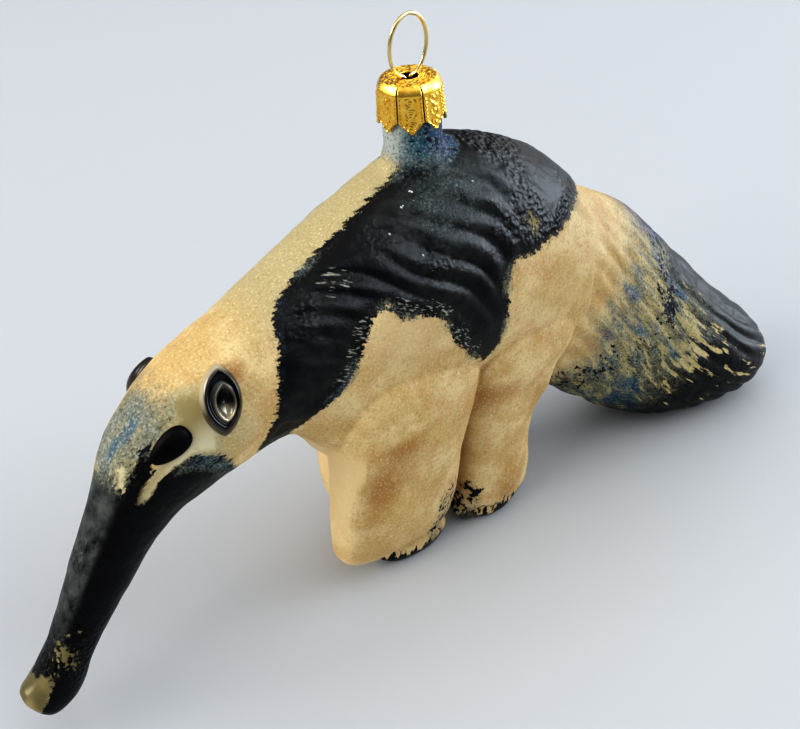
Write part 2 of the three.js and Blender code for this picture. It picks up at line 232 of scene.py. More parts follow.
def closed_stack(rings):
    """Points and faces of a closed form from an array of rings, whose first and last ring are single points."""
    n, m = rings.shape[:2]
    points = np.concatenate([rings[1:-1].reshape(-1, 3), rings[0, :1], rings[-1, :1]])
    i, j = np.meshgrid(np.arange(n - 3), np.arange(m), indexing="ij")
    a, b = i * m + j, i * m + (j + 1) % m
    quads = np.stack([a, b, b + m, a + m], -1).reshape(-1, 4)
    k = np.arange(m)
    first, last = (n - 2) * m, (n - 2) * m + 1
    near = np.stack([np.full(m, first), (k + 1) % m, k], -1)
    far = np.stack([np.full(m, last), (n - 3) * m + k, (n - 3) * m + (k + 1) % m], -1)
    return points, [*quads.tolist(), *near.tolist(), *far.tolist()]


def spread_polar(n):
    """Places from 0 to 1 that stand closer together at both ends, where a form rounds off."""
    return (1 - np.cos(np.linspace(0, np.pi, n))) / 2


polar, turn = grid(spread_polar(420), 128)
trunk_form = closed_stack(trunk_surface(polar, turn))
print("trunk:", len(trunk_form[0]), "points")

# %% [markdown]
# ## Legs
# A leg is a stack of level sections, somewhere between an ellipse and a rectangle, because a mould keeps the flat
# sides of a sturdy leg. The right legs are the left ones mirrored and set back, as an animal in mid-stride has
# them. A web of glass joins the four legs, and a low lobe under each foot carries the claws.

# %% Sections of the legs
FRONT_LEG = np.array([  # centre x, y, z, reach along y, reach along x
    (-8.0, -6.0, 50.0, 5.0, 8.0), (-8.0, -8.0, 42.0, 6.6, 13.5), (-8.8, -8.0, 33.0, 6.6, 14.2),
    (-9.6, -7.5, 24.0, 6.2, 13.2), (-9.9, -7.2, 15.0, 5.8, 13.0), (-10.0, -6.4, 8.0, 5.0, 12.2),
    (-10.4, -5.8, 5.4, 3.8, 10.4)])
HIND_LEG = np.array([
    (18.0, -6.0, 50.0, 6.0, 8.0), (17.0, -8.0, 40.0, 7.2, 12.0), (14.8, -7.8, 29.0, 6.2, 10.0),
    (13.2, -7.4, 19.0, 5.6, 7.6), (13.6, -7.4, 10.0, 5.4, 8.0), (14.0, -7.0, 2.0, 4.6, 8.4)])
WEB = np.array([(1.0, 0.0, 38.0, 5.4, 16.5), (1.5, 0.0, 20.0, 5.4, 16.5), (2.0, 0.0, 2.2, 5.2, 16.0)])
LEG_SQUARENESS = 2.8
FRONT_CLAWS = ((-5.2, -6.0, 3.0), (8.2, 3.7, 3.9))  # centre and half size
HIND_CLAWS = ((14.0, -6.6, 3.2), (8.4, 4.2, 4.2))
STEP_FRONT, STEP_HIND = 9.0, 5.0  # mm by which the right legs stand farther back
print("sections:", len(FRONT_LEG), len(HIND_LEG), len(WEB))


# %% Legs and web
def leg_surface(rows, polar, turn, parts):
    """Points of a leg: x and y leave the row's centre by the reach times sign(v) * |v| ** (2 / squareness), with v
    the cosine for x and the sine for y."""
    row = between(rows, polar * (len(rows) - 1))
    wide = end_round(polar, parts)
    square = lambda v: np.sign(v) * np.abs(v) ** (2 / LEG_SQUARENESS)
    return np.stack([row[..., 0] + wide * row[..., 4] * square(np.cos(turn)),
                     row[..., 1] + wide * row[..., 3] * square(np.sin(turn)), row[..., 2]], -1)


def leg_form(rows, parts=9):
    """A leg's surface on a grid of 120 levels and 96 turns, as a closed form."""
    polar, turn = grid(spread_polar(120), 96)
    return closed_stack(leg_surface(rows, polar, turn, parts))


def ball_form(centre, half, n=48):
    """An ellipsoid: each half size times the sines and cosines of two angles."""
    polar, turn = grid(np.linspace(0, np.pi, n), n)
    ball = np.stack([np.sin(polar) * np.cos(turn), np.sin(polar) * np.sin(turn), np.cos(polar)], -1)
    return closed_stack(ball * half + centre)


def stepped(form, step):
    """The right-hand copy of a left leg: mirrored over the mould seam, its faces turned back, and set back."""
    points, faces = form
    return points * (1, -1, 1) + (step, 0, 0), [face[::-1] for face in faces]


left_forms = [(leg_form(FRONT_LEG), STEP_FRONT), (ball_form(*FRONT_CLAWS), STEP_FRONT),
              (leg_form(HIND_LEG), STEP_HIND), (ball_form(*HIND_CLAWS), STEP_HIND)]
forms = [trunk_form, leg_form(WEB, 4)]
for form, step in left_forms:
    forms += [form, stepped(form, step)]
print("forms to join:", len(forms))

# %% [markdown]
# ## Pike
# The pike is the short tube that the glass was blown through, and the cap grips it. It is a profile turned around
# its own axis, which leans a little towards the head. Its foot flares into the back, so that no seam shows.

# %% Pike
PIKE_BASE = np.array([0.4, 0.0, 75.0])
PIKE_LEAN = math.radians(-6)


def on_pike(points):
    """Carries points from the pike's own axes to their place on the back: a turn about y, then a move."""
    x, y, z = np.moveaxis(np.asarray(points, float), -1, 0)
    c, s = math.cos(PIKE_LEAN), math.sin(PIKE_LEAN)
    return np.stack([x * c + z * s, y, z * c - x * s], -1) + PIKE_BASE


def hoop_faces(m, n):
    """Four-sided faces of m by n points that close on themselves both ways, as those of a hoop do."""
    i, j = np.meshgrid(np.arange(m), np.arange(n), indexing="ij")
    return np.stack([i * n + j, i * n + (j + 1) % n, (i + 1) % m * n + (j + 1) % n, (i + 1) % m * n + j],
                    -1).reshape(-1, 4)


def turned_form(profile, n=96):
    """A closed profile of radius and height pairs turned around the axis: radius times cosine and sine."""
    radius, height = np.array(profile, float).T
    turn = np.linspace(0, 2 * np.pi, n, endpoint=False)[None, :]
    ring = np.stack([radius[:, None] * np.cos(turn), radius[:, None] * np.sin(turn),
                     np.repeat(height[:, None], n, 1)], -1)
    return ring.reshape(-1, 3), hoop_faces(len(profile), n).tolist()


PIKE_PROFILE = [(3.2, -4.0), (6.2, -4.0), (5.5, -0.5), (5.0, 0.9), (4.7, 1.8), (4.55, 2.4), (4.5, 6.0), (4.1, 8.0),
                (4.05, 11.8), (3.2, 11.8)]
pike_points, pike_faces = turned_form(PIKE_PROFILE)
forms.append((on_pike(pike_points), pike_faces))
print("pike:", len(pike_points), "points")

# %% [markdown]
# ## One skin
# The forms overlap, and the real glass has no seam between them. A voxel remesh at about half a millimetre wraps
# them all in one closed surface of even faces, small enough for the moulded hair and under 200,000 triangles. A
# little smoothing that alternates between in and out then softens the voxel steps and the creases without
# shrinking the form. What would sink into the floor is flattened on it, as the real feet are.

# %% Join
VOXEL = 0.58  # mm
SOFTEN_ROUNDS, BROAD_ROUNDS = 6, 30
lacquered_glass, glass_tree, glass_shader = paint("lacquered_silvered_glass")


def joined(forms):
    """Points and faces of several forms as one list."""
    starts = np.cumsum([0, *(len(points) for points, _ in forms)])
    return (np.concatenate([points for points, _ in forms]),
            [[v + start for v in face] for (_, faces), start in zip(forms, starts) for face in faces])


def remeshed(forms, voxel):
    """A mesh that wraps the forms, from Blender's voxel remesh, at drawing size."""
    raw = object_from("raw", *joined(forms), lacquered_glass)
    wrap = raw.modifiers.new("wrap", "REMESH")
    wrap.mode = "VOXEL"
    wrap.voxel_size = voxel
    wrapped = bpy.data.meshes.new_from_object(raw.evaluated_get(bpy.context.evaluated_depsgraph_get()))
    bpy.data.objects.remove(raw)
    return wrapped


skin_mesh = remeshed(forms, VOXEL)
print("wrapped:", len(skin_mesh.vertices), "points")


# %% Smooth
def read(mesh, of, what, width, kind=float):
    """An array of a mesh's numbers, width per item."""
    values = np.empty(len(getattr(mesh, of)) * width, kind)
    getattr(mesh, of).foreach_get(what, values)
    return values.reshape(-1, width) if width > 1 else values


def smoothed(points, edges, rounds, inwards=0.5, outwards=-0.52):
    """Moves each point towards the mean of its neighbours by the first share and back by the second, in turn."""
    n = len(points)
    count = np.bincount(edges.ravel(), minlength=n)[:, None]
    for share in (inwards, outwards) * rounds:
        total = np.stack([np.bincount(edges[:, 0], points[edges[:, 1], k], n)
                          + np.bincount(edges[:, 1], points[edges[:, 0], k], n) for k in range(3)], -1)
        points = points + share * (total / count - points)
    return points


skin_edges = read(skin_mesh, "edges", "vertices", 2, np.int32)
skin = smoothed(read(skin_mesh, "vertices", "co", 3), skin_edges, SOFTEN_ROUNDS)
print("skin:", len(skin), "points", sum(len(p.vertices) - 2 for p in skin_mesh.polygons), "triangles")

# %% [markdown]
# ## Where a point is on the body
# Paint and moulded hair follow the animal, not the room. So each point of the skin gets its place on the trunk:
# how far along the axis it is, and its angle from the crest of the back, positive towards the left flank.

# %% Chart of the skin
AXIS_PLACES = 900
axis_at, axis_ahead, axis_across, axis_back = trunk_frame(np.linspace(0, len(TRUNK) - 1, AXIS_PLACES))
axis_length = np.concatenate([[0], np.cumsum(np.linalg.norm(np.diff(axis_at, axis=0), axis=1))])


def chart(points, batch=8192):
    """For each point: mm along the axis, degrees from the crest (left positive), and mm from the axis towards the
    back. The nearest of the axis's places is found first, a batch of points at a time to save memory."""
    nearest = np.empty(len(points), int)
    for start in range(0, len(points), batch):
        part = points[start:start + batch]
        nearest[start:start + batch] = np.argmin((axis_at**2).sum(1) - 2 * part @ axis_at.T, axis=1)
    off = points - axis_at[nearest]
    left, high = -(off * axis_across[nearest]).sum(1), (off * axis_back[nearest]).sum(1)
    return axis_length[nearest] + (off * axis_ahead[nearest]).sum(1), np.degrees(np.arctan2(left, high)), high


along_of, turn_of, high_of = chart(skin)
off_crest = np.abs(turn_of)  # the same on both flanks
x_of, y_of, z_of = skin.T
print("axis is", round(axis_length[-1], 1), "mm long")

# %% [markdown]
# ## Moulded relief
# The mould of such an ornament is carved, so its hair shows as soft folds in the glass: slanting back and down
# the flanks, and lengthwise along the tail. The blowing makes all edges round. Each kind of relief is a height in
# millimetres over the skin, as a function of the straightened place, kept to its own area by a smooth mask.

# %% Helpers for relief
CUBES = 32  # along each side of the table of random numbers, which repeats beyond it
NOISE_TABLE = np.random.default_rng(7).uniform(-1, 1, (CUBES, CUBES, CUBES))


def noise(places, size=1.0):
    """Smooth random values from -1 to 1: random numbers at the corners of cubes of the given size, blended inside
    each cube with the weights s * s * (3 - 2 * s)."""
    places = np.asarray(places, float) / size
    cell = np.floor(places).astype(int)
    s = places - cell
    s = s * s * (3 - 2 * s)
    total = np.zeros(len(places))
    for corner in np.ndindex(2, 2, 2):
        weight = np.prod(np.where(corner, s, 1 - s), axis=-1)
        total += weight * NOISE_TABLE[tuple(((cell + corner) % CUBES).T)]
    return total


def ramp(value, low, high):
    """0 below low, 1 above high, and a smooth step between."""
    s = np.clip((value - low) / (high - low), 0, 1)
    return s * s * (3 - 2 * s)


def fall(value, low, high):
    """The ramp turned over: 1 below low, 0 above high."""
    return 1 - ramp(value, low, high)


def in_plane(u, v, layer=0.0):
    """Places for noise at (u, v) on one of many flat layers, each with a pattern of its own."""
    return np.stack([u, v, layer + 0 * u], -1)


print("noise at the origin:", noise(np.zeros((1, 3))).round(2).tolist())


# %% Outlines on the flanks
def inside(x, y, outline):
    """Signed distance to a closed outline, positive inside: the nearest of all its sides, with the sign from how
    often a line to the right crosses them."""
    a = np.asarray(outline, float)
    b = np.roll(a, -1, axis=0)
    nearest, crossed = np.full(len(x), 1e9), np.zeros(len(x), bool)
    for (ax, ay), (bx, by) in zip(a, b):
        share = np.clip(((x - ax) * (bx - ax) + (y - ay) * (by - ay)) / ((bx - ax)**2 + (by - ay)**2), 0, 1)
        nearest = np.minimum(nearest, np.hypot(x - ax - share * (bx - ax), y - ay - share * (by - ay)))
        crossed ^= ((ay > y) != (by > y)) & (x < (bx - ax) * (y - ay) / (by - ay + 1e-12) + ax)
    return np.where(crossed, nearest, -nearest)


MM_PER_DEGREE = 0.28  # around a trunk about 16 mm in radius


def marked(outline):
    """Signed distance in mm to an outline drawn as (mm along, degrees from the crest) on either flank."""
    return inside(along_of, flank_turn * MM_PER_DEGREE, [(u, v * MM_PER_DEGREE) for u, v in outline])


# %% [markdown]
# ## Painted areas
# The painter works freehand, so the outlines were drawn from the photograph, on the left flank, and used for the right
# one as well. The pale stripe on the crest of the neck is drawn wider towards the right, because the photograph shows
# no black beyond it.

# %% Areas
stripe_shift = 26 * fall(along_of, 92, 104)
flank_turn = np.where(turn_of < 0, np.maximum(-turn_of - stripe_shift, 0), turn_of)
FLANK_BAND = [(54, 185), (56, 128), (60, 99), (62.5, 70), (65, 49), (66.3, 33), (68, 24), (70, 17), (73, 13),
              (77.5, 9), (82, 8), (87, 5), (92, 3), (95, 6), (97, -6), (127, -6), (123.5, 16), (119.9, 32),
              (116.9, 46), (114.2, 60), (109.5, 68), (104.5, 70), (103.1, 78), (103.5, 104), (103.4, 116),
              (102.8, 130), (100.8, 134), (97, 125), (92.4, 108), (89.9, 89), (88.4, 82), (82.8, 73), (81.3, 62),
              (79.2, 63), (77, 72), (74.8, 89), (72.8, 101), (70.7, 109), (66.4, 119), (62.7, 134), (58, 185)]
BROW_STREAK = [(44.8, 36), (44, 48), (41.8, 54), (36, 54), (36, 36), (41.4, 31), (43.5, 31)]
FACE_PATCH = [(51.8, 28), (53.5, 39), (53.2, 50), (52.6, 63), (51.9, 76), (50.2, 88), (47.8, 72), (45.6, 71),
              (43, 64), (38.8, 64), (37.8, 54), (40, 50), (43.3, 57), (45.3, 52), (48, 48), (49.7, 42), (50.4, 32)]
BROW_GOLD = [(42.1, 13), (41.5, 25), (41, 30), (37.5, 34), (38.3, 27), (39.6, 14)]
SNOUT_TIP = [(-3, 40), (0.5, -30), (3.3, -14), (5.8, -4), (7.4, 20), (7.6, 49), (4.3, 60), (1.2, 67)]
SNOUT_SPECKS = [(8.5, 30), (10.9, 5), (15.4, 20), (15.4, 60), (12.2, 100), (8.6, 90)]
FLANK_SPOT = [(107, 49), (108.6, 47.5), (110, 52), (109.6, 58), (108.8, 60), (108.6, 55), (108, 51.5)]

flank_black = marked(FLANK_BAND)
snout_limit = np.interp(off_crest, [0, 12, 41, 60, 66, 76, 98, 142, 180],
                        [40.2, 39.6, 37.8, 40.2, 44.4, 47.8, 50.2, 50.4, 49])
snout_black = snout_limit - along_of
tail_limit = np.interp(off_crest, [0, 20, 34, 55, 79, 100, 125, 144, 180],
                       [149, 150, 153, 156, 161, 160, 155, 151, 144])
tail_black = along_of - tail_limit
on_leg = ramp(-high_of, 17, 20) * ramp(along_of, 60, 66) * ramp(150 - along_of, 0, 4)
print("black on the flank:", int((flank_black > 0).sum()), "points")

# %% [markdown]
# ## Folds, ridges and creases
# A carved fold has a broad round crest and a narrow valley. The square root of a raised sine has that shape, and a
# little noise makes the folds waver and break off as hand-cut ones do. The flank's folds slant, the tail's ridges run
# with it, and a crease parts the thigh from the tail.

# %% Folds on the flanks
down = flank_turn * MM_PER_DEGREE
SLANT = math.radians(46)
FOLD_PERIOD, RIDGE_PERIOD = 3.5, 4.2  # mm from fold to fold, and between the tail's ridges
with_hair = along_of * math.cos(SLANT) + down * math.sin(SLANT)
across_hair = down * math.cos(SLANT) - along_of * math.sin(SLANT)
waver = 1.3 * noise(in_plane(with_hair, across_hair), 9)
fold = 2 * np.sqrt(0.5 + 0.5 * np.sin((across_hair + waver) * 2 * np.pi / FOLD_PERIOD)) - 1.25
broken = noise(in_plane(with_hair / 7, (across_hair + waver) / 1.7, 3))
fold_depth = 0.36 + 0.24 * noise(in_plane(with_hair, across_hair, 9), 8)
fold_depth *= ((0.2 + 0.8 * ramp(along_of, 74, 94)) * (1 - 0.7 * ramp(down, 18, 26))
               * (1 - 0.8 * ramp(along_of, 101, 107)))
height = ramp(flank_black, 0.5, 4) * ramp(down, 2, 8) * (fold_depth * fold + 0.3 * broken)
rough_top = ramp(flank_black, 0.2, 1.5) * np.maximum(
    fall(np.hypot(along_of - 108, (turn_of - 4) * MM_PER_DEGREE), 3, 6),
    fall(np.abs(flank_black - 1), 0.6, 1.9) * ramp(along_of, 106, 112))
height += 0.26 * rough_top * noise(skin, 1.15)  # chipped, rough lacquer
print("folds from", round(height.min(), 2), "to", round(height.max(), 2), "mm")

# %% Ridges on the tail
on_tail = ramp(along_of, 124, 133) * ramp(200 - along_of, 0, 8)
tail_across = turn_of * 0.29 - 0.24 * (along_of - 125) * np.tanh(turn_of / 20)
ridge_turn = tail_across + 1.3 * noise(in_plane(along_of / 16, tail_across / 7))
ridge = np.abs(np.sin(ridge_turn * np.pi / RIDGE_PERIOD))
ridge_depth = 0.42 + 0.3 * noise(in_plane(along_of / 11, tail_across / 5, 2))
height += on_tail * (ridge_depth * (ridge - 0.6) + 0.14 * noise(in_plane(along_of / 5, ridge_turn / 1.1, 5)))

print("ridges up to", round(height.max(), 2), "mm")

# %% Creases of the legs
THIGH_LINE = [(119.9, 32), (122.9, 55), (126.0, 79), (131.0, 106), (133.1, 123), (137, 140)]
line = np.array(THIGH_LINE)
behind_thigh = along_of - np.interp(off_crest, line[:, 1], line[:, 0])
thigh_mask = ramp(off_crest, 26, 44) * fall(off_crest, 128, 145)
height += thigh_mask * (0.55 * fall(behind_thigh, -0.5, 0.7) * ramp(behind_thigh, -9, -0.5)
                        - 0.3 * ramp(behind_thigh, 0, 0.8) * fall(behind_thigh, 2, 6))
height += on_leg * 0.15 * noise(skin * (1, 1, 0.7), 5.5)
for side, step in ((-1, 0), (1, STEP_FRONT)):  # the corner down the front of each fore leg, and a dip behind it
    past = x_of - step - np.interp(z_of, [8, 20, 25, 30, 35], [-22.2, -22, -21.5, -20.5, -20.5])
    here = on_leg * ramp(side * y_of, 3, 7) * ramp(z_of, 5, 10) * fall(z_of, 31, 36)
    height += here * (0.55 * np.exp(-(past / 1.1)**2) - 0.45 * np.exp(-((past - 4) / 2.2)**2))
height += 0.1 * noise(skin, 3.2) + 0.06 * noise(skin, 1.7)
print("relief from", round(height.min(), 2), "to", round(height.max(), 2), "mm")

# %% [markdown]
# ## Raise the relief
# Each point now moves outwards by its height, and no point sinks below the floor. A copy smoothed far more than the
# skin tells hollows from humps: where it lies outside the skin there is a hollow, which is painted darker as shade, and
# where it lies inside there is a hump, which is painted paler as a highlight.

# %% Raise the relief
def normals_of(mesh, points):
    """Unit directions out of the skin at each point."""
    mesh.vertices.foreach_set("co", points.astype(np.float32).ravel())
    mesh.update()
    return read(mesh, "vertices", "normal", 3)


out = normals_of(skin_mesh, skin)
broad = smoothed(skin, skin_edges, BROAD_ROUNDS, 0.5, 0.0)
hollow = ((broad - skin) * out).sum(1)
skin = skin + height[:, None] * out
skin[:, 2] = np.maximum(skin[:, 2], 0)
print("hollow from", round(hollow.min(), 2), "to", round(hollow.max(), 2), "mm")

# %% [markdown]
# ## Paint on the skin
# Real paint is a thin film, so it is colour and gloss and not shape. Each area is stored on the points as a
# distance in millimetres from its edge, positive inside. The material adds fine noise to that distance and cuts
# it at zero, which gives the frayed, speckled edges of a dry brush far finer than the mesh itself.

# %% Storing paint
def attribute(mesh, name, values):
    """Stores one number, or a vector, on each point."""
    kind, field = ("FLOAT", "value") if values.ndim == 1 else ("FLOAT_VECTOR", "vector")
    mesh.attributes.new(name, kind, "POINT").data.foreach_set(field, values.astype(np.float32).ravel())


def around(along, turn, radius):
    """1 at a place on the trunk, falling to 0 at a radius in mm."""
    return fall(np.hypot(along_of - along, (turn_of - turn) * MM_PER_DEGREE), radius * 0.3, radius)


pike_axis = on_pike([(0, 0, 0), (0, 0, 10)])
pike_way = unit(pike_axis[1] - pike_axis[0])
from_pike = skin - pike_axis[0]
pike_height = from_pike @ pike_way
pike_away = np.linalg.norm(from_pike - pike_height[:, None] * pike_way, axis=1)
pike_turn = np.degrees(np.arctan2(from_pike[:, 1], from_pike[:, 0]))


def pike_side(turn, low, high):
    """From 0 to 1 towards one side of the pike: a ramp on the cosine of the angle from that side, in degrees."""
    return ramp(np.cos(np.radians(pike_turn - turn)), low, high)


print("points up on the pike:", int((pike_height > 0).sum()))

# %% [markdown]
# ## Black lacquer
# Black is brushed over the cream: a shaggy band on the flanks, the snout, the tail and a rim round the soles. A full
# brush leaves a clean edge and a dry one leaves strokes, so how far the edge frays is stored beside the areas.

# %% Black areas and their edges
near_sole = on_leg * fall(z_of, 9, 13)
sole_black = np.where(x_of < 5.2, np.minimum(2.8 - z_of, x_of + 15.5), 3.2 - z_of)
black = np.maximum.reduce([flank_black, snout_black, marked(BROW_STREAK), tail_black,
                           np.where(on_leg > 0.5, sole_black, -9)])
hind_leg = on_leg * fall(x_of - STEP_HIND * (y_of > 0), 23, 26)
tail_part = ramp(along_of, 128, 136) * (1 - hind_leg)
ragged = (0.65 + 4.3 * tail_part + (1.1 + 3.7 * (x_of > 5.2)) * near_sole * ramp(x_of, -17, -14)
          + 0.5 * fall(along_of, 40, 52))
ragged += 1.3 * fall(off_crest, 22, 40) * ramp(along_of, 34, 37) * fall(along_of, 44, 48)
print("black:", round((black > 0).mean() * 100), "% of the points")

# %% [markdown]
# ## Glitter
# Where black meets cream the painter dusts glitter on the wet lacquer: grey on the head, blue on the brow and round
# the pike, blue and violet on the tail. How dense it lies and its hue are two numbers, so that one row of colours
# serves everywhere. Darker dabs and specks lie over it, and the pike is pale towards the head.

# %% Where glitter lies
pike_limit = 4.95 + 2.6 * np.maximum(0, np.cos(np.radians(pike_turn))) ** 1.5
on_pike_foot = fall(pike_away - pike_limit, -0.7, 0.7) * ramp(pike_height, -4, -2)
brow_blue = np.maximum(around(45.2, 9, 3.2), around(42.2, 1, 2.6))
head_grey = ramp(54 - along_of, 0, 7) * ramp(along_of, 36.5, 41) * fall(np.abs(turn_of - 4), 26, 46)
head_grey *= 1 + 0.35 * ramp(48 - along_of, 0, 5)
head_grey *= 0.9 + 0.35 * noise(skin, 2.6)
head_grey *= 1 - 0.85 * ramp(marked(BROW_STREAK), -0.4, 0.8)
band_edge = fall(np.abs(flank_black - 0.2), 0.4, 1.9) * ramp(along_of, 50, 56)
jaw_edge = ramp(snout_black, -1.6, 0.5) * fall(snout_black, 0.8, 5) * ramp(off_crest, 66, 80)
under_pike = around(96, 27, 9) * ramp(flank_black, 0, 2)
tail_frost = tail_part * ramp(along_of - 7 * ramp(off_crest, 112, 140), 132, 146) * fall(along_of, 160, 180)
tail_frost *= 1 - ramp(along_of, 149, 160) * fall(off_crest, 34, 56)
foot_speckle = on_leg * ramp(np.abs(y_of), 3, 6) * np.maximum(
    fall(np.abs(x_of - 5.5), 1, 3.5) * fall(z_of, 9, 13), fall(np.abs(x_of + 2), 1.5, 3.5) * fall(z_of, 12, 22))
tint = np.maximum.reduce([
    1.5 * on_pike_foot, 1.15 * brow_blue, 1.3 * head_grey, (0.1 + 0.36 * ramp(noise(skin, 4), -0.2, 0.5)) * band_edge,
    0.75 * jaw_edge, 0.25 * under_pike, 0.95 * tail_frost, 0.5 * foot_speckle])
pale = 0.9 * on_pike_foot * pike_side(152, 0.35, 0.9)
print("glitter:", round((tint > 0.5).mean() * 100), "% of the points")

# %% Its hue, and the dabs over it
low_hue = noise(in_plane(along_of / 2.2, tail_across), 3.0)
hue = np.clip(0.16 + 0.95 * low_hue * (1 - 0.6 * ramp(off_crest, 108, 126)), 0, 0.66) * tail_frost
hue = np.maximum(hue, tail_frost * fall(off_crest, 18, 38) * (0.8 + 0.2 * low_hue))
hue = np.maximum(hue, ramp(along_of, 142, 150) * ramp(off_crest, 118, 132) * (0.22 + 0.4 * low_hue))
hue *= 1 - 0.8 * around(160, 97, 7)
hue = np.maximum.reduce([
    hue, 0.3 * (under_pike > 0.05), 0.2 * head_grey * ramp(noise(skin, 3.2), -0.5, 0.35), 0.5 * brow_blue,
    0.62 * band_edge * fall(along_of, 62, 84), 0.3 * jaw_edge,
    on_pike_foot * (0.36 + 0.22 * pike_side(-30, -0.25, 0.5) + 0.12 * low_hue)])
dots = tail_part * np.maximum(
    fall(np.abs(tail_black + 1), 2, 7) * (0.55 + 0.45 * fall(off_crest, 70, 90)),
    ramp(off_crest, 122, 136) * ramp(along_of, 146, 152) * fall(along_of, 154, 158) * 0.8)
dots = np.maximum.reduce([
    dots, 0.85 * foot_speckle, 0.9 * jaw_edge * ramp(snout_black, -1.8, 0),
    0.75 * fall(np.abs(marked(BROW_STREAK)), 0.4, 2.4) * ramp(along_of, 36, 38)])
dots = np.maximum(dots, 0.8 * on_pike_foot * pike_side(-75, 0.1, 0.8))
print("hue from", round(hue.min(), 2), "to", round(hue.max(), 2))

# %% [markdown]
# ## Bare glass and strands
# The face patch, the gold mark on the brow, the tip of the snout and some specks are left unpainted, and the silver
# shows through. On the tail and along the band's low edge the cream shows between the hairs of the black brush, and a
# pale stroke on the neck is a painted glint of glitter.

# %% Bare glass and strands
TIP_RIM = 7.4  # the height in mm up to which the snout's tip is painted black again
bare = np.maximum.reduce([0.55 * marked(FACE_PATCH), marked(BROW_GOLD) - 0.6,
                          np.minimum(marked(SNOUT_TIP), 0.8 * (z_of - TIP_RIM)), marked(SNOUT_SPECKS) - 2.1,
                          marked(FLANK_SPOT)])
bare_ragged = (0.25 + 0.8 * (along_of < 30) + 0.9 * around(39.5, 23, 6) + 0.4 * (along_of > 100)
               + 2.4 * fall(along_of, 17, 24) * ramp(along_of, 7.5, 9))
creamy = np.where(along_of > 30, 0.5 + 0.5 * ramp(turn_of, 50, 72), 0.1 + 0.3 * ramp(noise(skin, 2.6), -0.3, 0.5))
# The gold mark on the brow is made pale, as a painted highlight.
creamy = np.where(marked(BROW_GOLD) > -1, 0.8, creamy)
reveal = tail_part * 0.72 * np.exp(-((along_of - 167) / 10)**2 - ((off_crest - 88) / 32)**2)
reveal = np.maximum(reveal, 0.12 * ramp(along_of, 158, 168) * ramp(off_crest, 45, 60))
low_edge = fall(np.abs(flank_black - 1.5), 0.6, 2.2) * ramp(down, 15, 18) * ramp(along_of, 66, 72)
# Pale strokes on the black: along the band's low edge the cream between the brush's hairs, and on the neck a painted
# glint of glitter.
strand_and_glint = np.maximum(0.4 * low_edge * fall(along_of, 98, 102), 0.37 * around(76.5, 32, 4.4))
print("bare glass:", int((bare > 0).sum()), "points")

# %% [markdown]
# ## Wear, painted shade and painted highlights
# Dusty grey lies on the black, and on the snout and near the pike it is also a painted sheen. Its roughest parts are
# pitted. Warm tan lies on the legs, and hollows are painted darker tan as shade. Humps and edges are painted pale,
# partly rubbed paint and partly a painted highlight, the front of each fore leg is painted pale as a highlight, and the
# neck and jaw have a greener cream. Brush strokes follow the hair, the tail or the foot, so each point also stores its
# place in the brush's own directions.

# %% Wear, shade and the way of the brush
# Grey dust on the black lacquer, which on the upper flank below the pike also stands in as a painted sheen.
dust_and_sheen = ramp(flank_black, 0.5, 3) * np.maximum(0.75 * around(94, 30, 14), 0.35 * ramp(noise(skin, 9), -0.2, 0.5))
# On the upper side of the snout the grey is a painted sheen.
dust_and_sheen = np.maximum(dust_and_sheen, ramp(snout_black, 0, 2) * ramp(along_of, 8, 24) * fall(off_crest, 26, 40) * 1.8)
pit = np.maximum.reduce([
    rough_top, 0.45 * ramp(flank_black, 0.5, 3) * ramp(noise(skin, 7), 0.1, 0.6),
    fall(along_of, 8, 22) * ramp(along_of, 6, 9) * 0.7,
    fall(np.abs(along_of - 27), 1.5, 3) * fall(np.abs(turn_of + 10), 15, 30)])
warm_tone_and_hollow_shade = on_leg * (0.27 + 0.75 * noise(skin, 6.5) + 0.5 * np.exp(-((x_of + 14) / 5)**2 - ((z_of - 24) / 5)**2)
                 - 0.3 * np.exp(-((x_of + 9) / 6)**2 - ((z_of - 12) / 5)**2))
# Hollows get a darker warm tan, a painted shade; the tan on the legs is the paint's own.
warm_tone_and_hollow_shade = warm_tone_and_hollow_shade * ramp(z_of, 1, 8) * ramp(x_of, -22.5, -18) + ramp(hollow, 0.05, 0.5)
warm_tone_and_hollow_shade = np.maximum(warm_tone_and_hollow_shade, 0.8 * around(57.7, 42, 3.2))
# Paler on humps and edges, partly rubbed paint and partly a painted highlight; the front of each fore leg is paler as a
# painted highlight, and a patch on the flank behind the neck is paler too.
front_edge = np.interp(z_of, [8, 20, 25, 29, 34, 38], [-22.6, -22.3, -21.9, -20.9, -20.6, -20.8])
rubbed_and_highlit = np.maximum.reduce([
    ramp(-hollow, 0.12, 0.45), 0.45 * around(84, 86, 12),
    on_leg * ramp(front_edge - x_of + STEP_FRONT * (y_of > 0), -0.3, 0.4) * ramp(z_of, 9, 13)])
olive = np.maximum.reduce([
    ramp(along_of, 58, 70) * fall(along_of, 98, 102) * fall(off_crest, 40, 60), 0.55 * around(52, 92, 8),
    ramp(marked(FACE_PATCH), -2.6, -0.6), ramp(marked(BROW_GOLD), -2.2, -0.4), 0.25 * around(84, 86, 10)])
comb = fall(  # a short row of teeth pressed into the left fore leg
    np.abs(x_of + 4), 3, 5.5) * ramp(z_of, 18, 21) * fall(z_of, 30, 33) * ramp(-y_of, 9, 12)
lay = np.where((along_of > 131)[:, None], np.stack([along_of, tail_across, high_of], -1),
               np.stack([with_hair, across_hair, high_of], -1))
lay = np.where(((on_leg > 0.5) & (z_of < 14))[:, None], np.stack([z_of, x_of, y_of], -1), lay)
